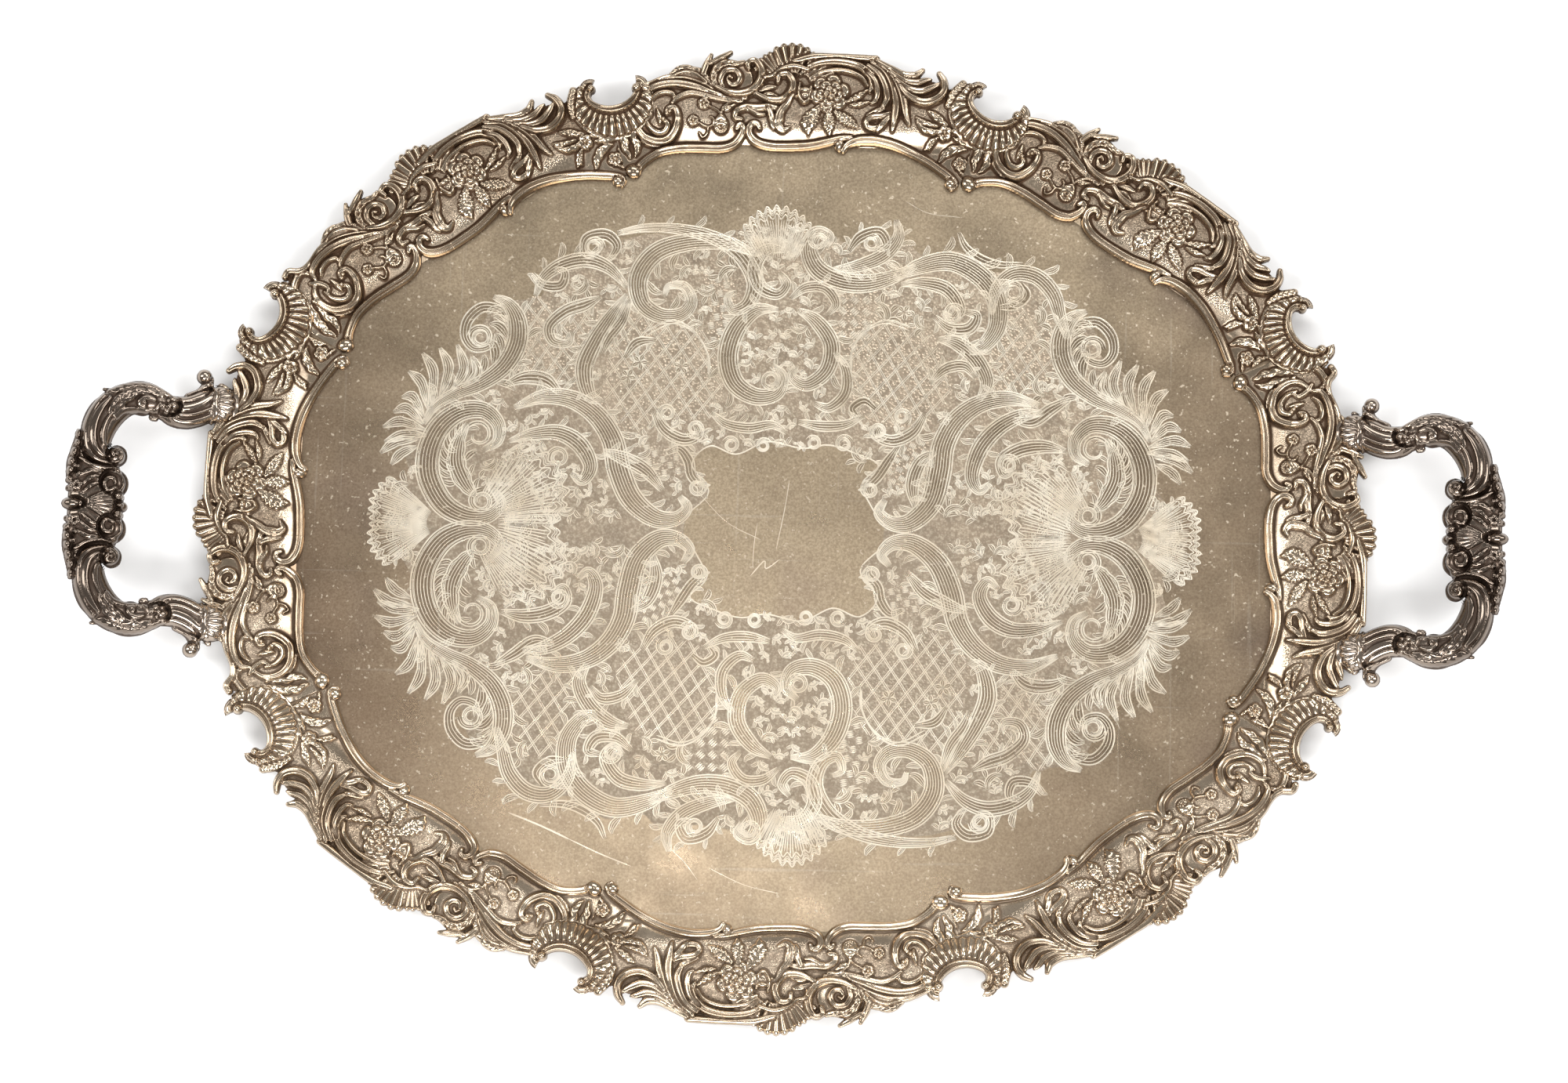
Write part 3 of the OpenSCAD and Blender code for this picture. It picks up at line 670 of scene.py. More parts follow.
def handle_body(r):
    """The round stock of half a handle: foot, leafy bend, C-scroll and grip."""
    R = r.ribbon
    R([(366.4, 38, 1.2), (366, 33, 2.6), (366.6, 27, 3.6), (367.2, 21, 4.4), (367, 14, 4.4)], 4.5, 0)
    R([(359.5, 23.5, 8), (357.4, 18.5, 12.5), (356.4, 12, 13.8), (356, 5, 13.8), (356, -6, 13.8)],
      7.4, 0, power=0.45)
    R([(301.6, 70, 3.0), (302.4, 65.4, 3.4), (305.6, 62, 3.2), (311, 59.8, 2.8)], 4.8, 0)
    r.dome((303.6, 71.6), 4.0, 5.4, 0)
    R([(289, 57.5, 8.5), (294, 57.3, 9.6), (299, 56.8, 8.8), (303, 55.4, 8.6), (308, 53, 8.6),
       (313, 51.6, 8.4), (318, 52, 8.0), (322, 53.4, 7.0)], 7.2, 0)
    R([(321, 54.4, 6.0), (326, 56.2, 7.0), (332, 57.4, 8.2), (338, 57.6, 8.3), (344, 55.8, 8.7),
       (349.5, 51.6, 9.0), (353.8, 45.6, 8.9), (356.5, 39, 8.5), (357.3, 33, 7.9), (356.2, 27.6, 7.2),
       (352, 24.8, 5.4), (348, 25.4, 4.6)], 7.6, 0)
    r.dome((347.2, 26), 4.9, 6.4, 0)
    r.dome((348.2, 11.6), 6.8, 5.8, 0, power=0.3)
    r.dome((367.2, 0), 3.5, 5.2, 0, 1.65, 90)
    for at, size in (((343.2, 0), 3.0), ((344.6, 4.6), 2.6)):
        r.dome(at, size, 5.6, 0, 1.3, 90)


def handle_relief(r):
    """What is cast on the stock: flutes, leaves, volutes, a small shell and knobs."""
    R = r.ribbon
    # collar that lies on the border, and the fluted foot
    r.fan((305, 57.2), 128, 232, 5, 17, 8, 1.9, 0.5, 0.09, 0.4)
    R([(299.6, 66.8, 0.9), (297.6, 62, 1.3), (298.4, 57, 1.4), (297.4, 51.4, 1.3), (299, 47.4, 0.9)],
      1.6, 0.6)
    R([(302, 69.6, 1.5), (302.6, 65.6, 2.0), (305.4, 61.6, 2.1), (310, 59.2, 2.0), (315, 58.4, 1.9),
       (320.4, 58.9, 1.4)], 1.5, 0.4)
    R([(300.6, 60.4, 1.6), (305, 56.8, 2.0), (310, 54.6, 2.1), (315, 53.8, 2.0), (320, 54.8, 1.3)],
      1.1, 0.1)
    R([(300, 54.2, 0.8), (305, 51.6, 1.0), (310, 49.9, 1.1), (315, 49.5, 1.0), (319.6, 51, 0.7)], 1.2, 0.4)
    R([(299.6, 50.2, 1.3), (305, 47.4, 1.6), (311, 45.6, 1.7), (316.6, 45.8, 1.6), (321, 48.6, 1.0)],
      1.3, 0.3)
    # knot and leaves of the bend
    for at, size in (((322.6, 50.6), 1.7), ((324.6, 53.2), 1.6), ((321.4, 53.6), 1.5), ((322.2, 56.4),
                                                                                        1.3)):
        r.dome(at, size, 1.6, 0.6)
    R([(320, 59, 0.9), (325, 61.6, 1.7), (331, 64, 2.1), (338, 64.4, 2.3), (345, 62, 2.3), (350, 60, 1.8),
       (354.6, 60.8, 0.9)], 1.9, 0.5,
      veins=9)
    R([(325, 58.8, 1.0), (331, 60.4, 2.0), (337.6, 60, 2.6), (343, 56.4, 3.0), (347, 51.4, 2.4),
       (349.4, 46.6, 1.0)], 1.7, 0.4, veins=6,
      teeth=4, tooth=0.25)
    R([(341, 60.4, 0.9), (346.4, 57, 1.7), (350.4, 51.6, 1.8), (352, 47.6, 0.8)], 1.7, 0.5, veins=4)
    R([(326.4, 54.6, 0.9), (328, 50.6, 1.4), (329.4, 48.2, 1.8), (327.6, 47.4, 1.4)], 1.6, 0.5)
    R([(330, 51.2, 0.9), (334, 49.8, 1.4), (339.6, 50.4, 1.5), (344.6, 49.4, 1.5), (348.4, 45.2, 1.0)],
      1.4, 0.4)
    R([(329, 56.2, 1.0), (332.4, 57.2, 1.5), (336.2, 55.6, 1.5), (336.8, 52.8, 1.3), (334, 52, 1.1)],
      1.6, 0.5)
    r.dome((334.2, 54), 1.2, 2.0, 0.6)
    # three flutes of the C-scroll and its volute
    R([(354.6, 57.4, 1.0), (359.4, 51.8, 1.7), (362.6, 44.4, 1.9), (363.6, 36.4, 1.9), (362.4, 28.8, 1.8),
       (358, 23.4, 1.7), (352, 21.4, 1.6), (346.6, 21.6, 1.6), (342.9, 24.6, 1.7), (343.2, 29, 1.6),
       (346.4, 30.6, 1.5), (349.4, 28.8, 1.3), (348.8, 25.6, 1.1)], 1.6, 0.5)
    R([(351.6, 55.8, 0.9), (356, 50.2, 1.8), (359, 43.4, 2.1), (359.8, 36.2, 2.1), (358.4, 29.8, 1.9),
       (354.4, 25.6, 1.4), (351.2, 25.2, 0.9)], 1.7, 0.5)
    R([(350.4, 47.8, 0.8), (353.2, 43, 1.3), (354.7, 37.4, 1.5), (354.2, 32.4, 1.3), (351.8, 29.6, 0.8)],
      1.2, 0.3)
    r.dome((347, 26.6), 1.3, 2.0, 0.6)
    # grip: volute, leaves, shell and rosette
    R([(365.6, 23.6, 1.0), (360, 20.4, 1.4), (353, 19.2, 1.6), (346.4, 18.2, 1.8), (342, 14.6, 1.9),
       (341.8, 9.6, 1.9), (345, 6, 1.8), (350, 6.2, 1.7), (352.6, 9.8, 1.6), (351.2, 13.6, 1.5),
       (347.8, 13.8, 1.3), (346.8, 11.2, 1.0)], 1.8, 0.5)
    for pts in ([(354.4, 17, 0.7), (360, 17, 1.5), (366, 13.6, 0.7)], [(355, 14.4, 0.7),
                                                                       (359.6, 13.2, 1.5), (363.6, 9.4, 0.7)],
                [(354.6, 11, 0.7), (359, 9.2, 1.4), (363, 5.6, 0.7)]):
        R(pts, 1.3, 0.4, veins=3)
    r.fan((365, 0), 150, 210, 4.4, 23, 7, 2.4, 0.3, 0.10, 0.6)
    r.petals((366.4, 9), 1.9, 5, 1.35, 1.5, 0.7, 20, 1.1, 0.3)
    for at, size in (((366.2, 36.6), 1.9), ((366.4, 31.6), 1.6), ((368, 26.6), 1.9), ((369.2, 21.6), 1.7),
                     ((369.8, 16.8), 1.9), ((370, 12.2), 1.6), ((370, 8), 1.4), ((364.8, 27.6), 1.3),
                     ((366.2, 19.4), 1.3), ((365.6, 15.2), 1.2)):
        r.dome(at, size, 1.8, 0.5, 1.2, 20)
    r.dome((367.6, 0), 3.0, 0.8, 0.1, 1.6, 90)
    R([(363.6, -2.8, 0.5), (362.8, 0, 1.0), (363.6, 2.8, 0.5)], 1.0, 0.6)


def build_handle():
    low, high = (286, 0), (376, 79)
    stock, relief, whole = (Relief(low, high, HANDLE_STEP) for _ in range(3))
    handle_body(stock)
    handle_relief(relief)
    half_inside = np.maximum(stock.edge, relief.edge)
    thick = np.maximum(stock.h, 0)
    # the mirrored half
    inside, thick, height = (np.vstack([grid[:0:-1], grid]) for grid in (half_inside, thick, relief.h))
    whole.y = np.concatenate([-whole.y[:0:-1], whole.y])
    whole.X, whole.Y = np.meshgrid(whole.x, whole.y)
    rounding = np.clip(inside / 0.8, 0, 1)
    mesh = closed_shell("handle", whole, inside, thick + HANDLE_RELIEF * height,
                        -HANDLE_UNDER * thick - HANDLE_RIM * rounding)
    tilt = (Matrix.Translation((HANDLE_PIVOT * MM, 0, HANDLE_HEIGHT * MM)) @ Matrix.Rotation(-HANDLE_TILT,
                                                                                             4, "Y")
            @ Matrix.Translation((-HANDLE_PIVOT * MM, 0, 0)))
    mesh.transform(tilt)
    # the feet rest on the lip
    for point in mesh.vertices:
        if point.co.x < FOOT_END:
            point.co.z = max(point.co.z, (LIP_TOP + 0.1) * MM)
    return mesh


# ---- Engraving on the well: cut lines with raised lips, on a worked ground

class Graver:
    """Collects engraved lines as points with half widths, and the bare bodies of leaves and scrolls."""

    def __init__(self):
        self.strokes = []
        self.panel_strokes = []
        self.bodies = []
        self.spines = []

    def cut(self, line, half=0.28, fade=3.0, panel=False):
        run = np.concatenate([[0], np.cumsum(np.linalg.norm(np.diff(line, axis=0), axis=1))])
        if run[-1] < 1.0:
            return
        ends = np.clip(np.minimum(run, run[-1] - run) / min(fade, run[-1] / 2), 0.12, 1)
        (self.panel_strokes if panel else self.strokes).append((line, half * ends**0.6))

    def line(self, points, half=0.28):
        self.cut(curve(points, 0.9)[:, :2], half)

    def flow(self, points, count=5, half=0.15, rim=0.30, scallops=0):
        """Lines that run along a leaf or scroll and close up where it narrows: [x, y, half width]."""
        spine = curve(points, 0.9)
        ahead = np.gradient(spine[:, :2], axis=0)
        ahead /= np.linalg.norm(ahead, axis=1)[:, None] + 1e-9
        normal = np.stack([-ahead[:, 1], ahead[:, 0]], 1)
        t = np.linspace(0, 1, len(spine))
        self.bodies.append(np.stack([spine[:, :2] - normal * spine[:, 2:],
                                     spine[:, :2] + normal * spine[:, 2:]], 1))
        self.spines.append(spine)
        for n in range(count):
            u = 2 * n / (count - 1) - 1 if count > 1 else 0.0
            outer = n in (0, count - 1)
            reach = spine[:, 2] * u
            if scallops and outer:
                reach = reach * (1 + 0.18 * np.abs(np.sin(math.pi * scallops * t)) - 0.18 / 2)
            path = spine[:, :2] + normal * reach[:, None]
            self.cut(path, rim if outer else half)
            if outer and count > 4:
                inner = spine[:, :2] + normal * (reach - np.sign(u) * np.minimum(1.1, np.abs(reach)))[:,
                                                                                                      None]
                self.cut(inner[3:-3], 0.15)

    def leaflets(self, points, side, count, length, sweep=40, lines=4, start=0.08, stop=0.95, bend=35,
                 wide=0.17):
        """Curling leaflets that spring from one side of a scroll."""
        spine = curve(points, 0.9)
        ahead = np.gradient(spine[:, :2], axis=0)
        for k in range(count):
            i = int((start + (stop - start) * k / max(count - 1, 1)) * (len(spine) - 1))
            a = math.atan2(ahead[i, 1], ahead[i, 0])
            root = spine[i, :2] + side * spine[i, 2] * np.array([-math.sin(a), math.cos(a)])
            size = length * (0.75 + 0.35 * math.sin(math.pi * (k + 0.7) / count)) * (1 + 0.12 * (-1)**k)
            path = []
            for s in range(5):
                u = s / 4
                turn = a + side * math.radians(sweep + bend * u * u * (1 if k % 2 else 1.5))
                step = size / 4
                root = root if s == 0 else root + step * np.array([math.cos(turn), math.sin(turn)])
                path.append((root[0], root[1], size * wide * (0.25, 0.8, 1.0, 0.8, 0.25)[s]))
            self.flow(path, lines, 0.14, 0.24)

    def fill(self, outline, bare):
        """Small curled leaves wherever the scrolls leave the ground open."""
        spacing = 5.5
        taken = np.vstack(self.spines)
        spots = []
        for row, y in enumerate(np.arange(3.0, 175.0, spacing * 0.87)):
            for x in np.arange(-215.0, 215.0, spacing):
                spots.append((x + spacing * 0.5 * (row % 2), y))
        spots = np.array(spots)
        spots = spots[within(np.array(outline), spots) & ~within(np.array(bare), spots)]
        for panel in DIAPERS + [c[0] for c in CHECKERS]:
            spots = spots[~within(np.array(panel), spots)]
        for x, y in spots:
            room = (np.hypot(taken[:, 0] - x, taken[:, 1] - y) - taken[:, 2]).min()
            if room < 2.7:
                continue
            size = min(room, 9.0) * 1.9
            lean = math.atan2(y, x) + math.radians(70 + 40 * math.sin(0.31 * x + 0.23 * y))
            way = 1 if x * math.cos(0.2 * y) > 0 else -1
            spot = np.array([x, y]) - size * 0.42 * np.array([math.cos(lean), math.sin(lean)])
            path = []
            for s in range(6):
                path.append((spot[0], spot[1], size * (0.05, 0.10, 0.13, 0.12, 0.09, 0.04)[s]))
                turn = lean + way * math.radians(-35 + 24 * s)
                spot = spot + size * 0.2 * np.array([math.cos(turn), math.sin(turn)])
            self.flow(path, 4, 0.13, 0.24)
            self.leaflets(path, -way, 3, size * 0.5, 40, 3, 0.1, 0.8, 40, 0.2)
            self.leaflets(path, way, 2, size * 0.4, 40, 3, 0.15, 0.6, 40, 0.2)
            taken = np.vstack([taken] + self.spines[-6:])

    def volute(self, at, radius, start, way=1, turns=1.35, lines=3, width=0.22):
        """A scroll end: lines winding in round a bare disc."""
        path = []
        steps = int(10 * turns)
        for s in range(steps + 1):
            a = math.radians(start) + way * 2 * math.pi * turns * s / steps
            r = radius * (1 - 0.55 * s / steps)
            path.append((at[0] + r * math.cos(a), at[1] + r * math.sin(a),
                         radius * width * (1 - 0.5 * s / steps)))
        self.flow(path, lines, 0.16, 0.3)

    def shell(self, at, from_angle, to_angle, inner, middle_reach, side_reach, ribs):
        """Ribs that spread to a ruffled rim."""
        rim = []
        for k in range(ribs * 2 + 1):
            u = k / (ribs * 2)
            a = math.radians(from_angle + (to_angle - from_angle) * u)
            far = side_reach + (middle_reach - side_reach) * math.sin(math.pi * u)
            far *= 1 + (0.03 if k % 2 else -0.04)
            rim.append((at[0] + far * math.cos(a), at[1] + far * math.sin(a), 0.0))
            lean = math.radians(4 * math.sin(2 * math.pi * u))
            for part, begin in ((-0.3, 0.0), (0.3, 0.12)):
                b = a + math.radians(part * (to_angle - from_angle) / ribs / 2)
                path = []
                for s in range(5):
                    r = inner + (far * 0.89 - inner) * (begin + (1 - begin) * s / 4)
                    path.append((at[0] + r * math.cos(b + lean * s / 4),
                                 at[1] + r * math.sin(b + lean * s / 4), 0))
                self.line(path, 0.24)
        for shrink, half in ((1.0, 0.32), (0.97, 0.18), (0.945, 0.18), (0.9, 0.26)):
            self.line([(at[0] + (x - at[0]) * shrink, at[1] + (y - at[1]) * shrink, 0) for x, y, _ in rim],
                      half)

    def lattice(self, outline, spacing, tilt):
        """Crossed double lines inside an outline."""
        P = np.array(outline, float)
        middle = P.mean(0)
        size = np.abs(P - middle).max() * 1.5
        for turn in (tilt, tilt + 72):
            d = np.array([math.cos(math.radians(turn)), math.sin(math.radians(turn))])
            n = np.array([-d[1], d[0]])
            for k in range(-int(size / spacing), int(size / spacing) + 1):
                for off in (-0.45, 0.45):
                    p0 = middle + n * (k * spacing + off)
                    steps = np.arange(-size, size, 1.2)
                    path = p0 + steps[:, None] * d
                    keep = within(P, path)
                    for piece in np.split(np.arange(len(path)),
                                          np.nonzero(np.diff(keep.astype(int)))[0] + 1):
                        if keep[piece[0]] and len(piece) > 2:
                            self.cut(path[piece], 0.17, 1.0, True)

    def checks(self, outline, spacing, tilt):
        """A chequer of close-hatched squares."""
        P = np.array(outline, float)
        middle = P.mean(0)
        c, s = math.cos(math.radians(tilt)), math.sin(math.radians(tilt))
        reach = int(np.abs(P - middle).max() * 1.5 / spacing)
        for i in range(-reach, reach):
            for j in range(-reach, reach):
                if (i + j) % 2:
                    continue
                u, v = (i + 0.5) * spacing, (j + 0.5) * spacing
                spot = middle + np.array([u * c - v * s, u * s + v * c])
                if within(P, spot[None])[0]:
                    for m in (-0.36, -0.12, 0.12, 0.36):
                        ends = [spot + spacing * np.array([e * c - m * s, e * s + m * c]) for e in (-0.42,
                                                                                                    0.42)]
                        self.cut(np.linspace(ends[0], ends[1], 4), 0.3, 0.6, True)


def within(outline, points):
    """Which points are inside an outline."""
    odd = np.zeros(len(points), bool)
    for a, b in zip(outline, np.roll(outline, -1, 0)):
        if a[1] != b[1]:
            cross = (a[1] > points[:, 1]) != (b[1] > points[:, 1])
            odd ^= cross & (points[:, 0] < (b[0] - a[0]) * (points[:, 1] - a[1]) / (b[1] - a[1]) + a[0])
    return odd


DIAPERS = [
    [(-150, 92), (-147, 112), (-134, 122), (-120, 116), (-108, 120), (-98, 112), (-104, 96), (-108, 78),
     (-122, 70), (-142, 76)],
    [(-92, 108), (-78, 116), (-62, 112), (-46, 106), (-38, 94), (-34, 76), (-40, 58), (-58, 56), (-78, 50),
     (-96, 58), (-96, 84)],
    [(34, 106), (48, 116), (64, 112), (76, 106), (82, 92), (86, 74), (74, 58), (56, 56), (38, 62),
     (30, 78), (30, 94)],
    [(108, 116), (124, 122), (140, 112), (140, 88), (124, 74), (108, 72), (104, 92)]]
CHECKERS = [
    ([(-46, 136), (-31, 134), (-28, 113), (-30, 97), (-43, 97), (-42, 116)], 4.0, 12),
    ([(22, 130), (56, 130), (46, 113), (36, 97), (21, 102), (23, 116)], 4.4, 45),
    ([(-78, 43), (-58, 42), (-54, 27), (-74, 25)], 3.6, 10),
    ([(52, 36), (62, 50), (74, 49), (72, 30), (56, 25)], 3.6, 62)]
WORKED = [(-209, 0), (-204, 13), (-197, 27), (-201, 42), (-196, 57), (-188, 72), (-176, 86), (-165, 98),
          (-158, 112), (-146, 119), (-131, 122), (-126, 136), (-106, 146), (-90, 153), (-73, 157),
          (-50, 156), (-38, 158), (-20, 162), (4, 162), (24, 156), (44, 154), (60, 156), (70, 149),
          (88, 152), (102, 142), (120, 140), (134, 133), (145, 120), (160, 111), (164, 97), (176, 88),
          (187, 74), (194, 57), (198, 43), (193, 29), (203, 13)]
BARE_MIDDLE = [(52, 4), (45, 14), (40, 26), (48, 36), (36, 42), (22, 46), (8, 44), (-10, 47), (-26, 40),
               (-40, 44), (-49, 34), (-40, 20), (-50, 8)]


SCRATCHES = [
    ([(2, 27), (0, 12), (-4, -10)], 0.16), ([(-14, 4), (-15.4, -6), (-16, -19)], 0.12), ([(-17, -24),
        (-10, -16), (-9, -20), (-2, -15)], 0.26),
    ([(-138, -150), (-122, -156), (-106, -163)], 0.36), ([(-106, -163), (-90, -170), (-74, -176)], 0.24),
    ([(-62, -160), (-48, -172), (-40, -182)], 0.18), ([(-34, -176), (-16, -184), (2, -188)], 0.14),
    ([(-46, 20), (-30, 4), (-12, -5)], 0.12), ([(150, -60), (168, -84), (176, -100)], 0.12),
             ([(60, 178), (72, 172), (90, 170)], 0.12)]


def turned(outline):
    return [(-x, -y) for x, y in outline]


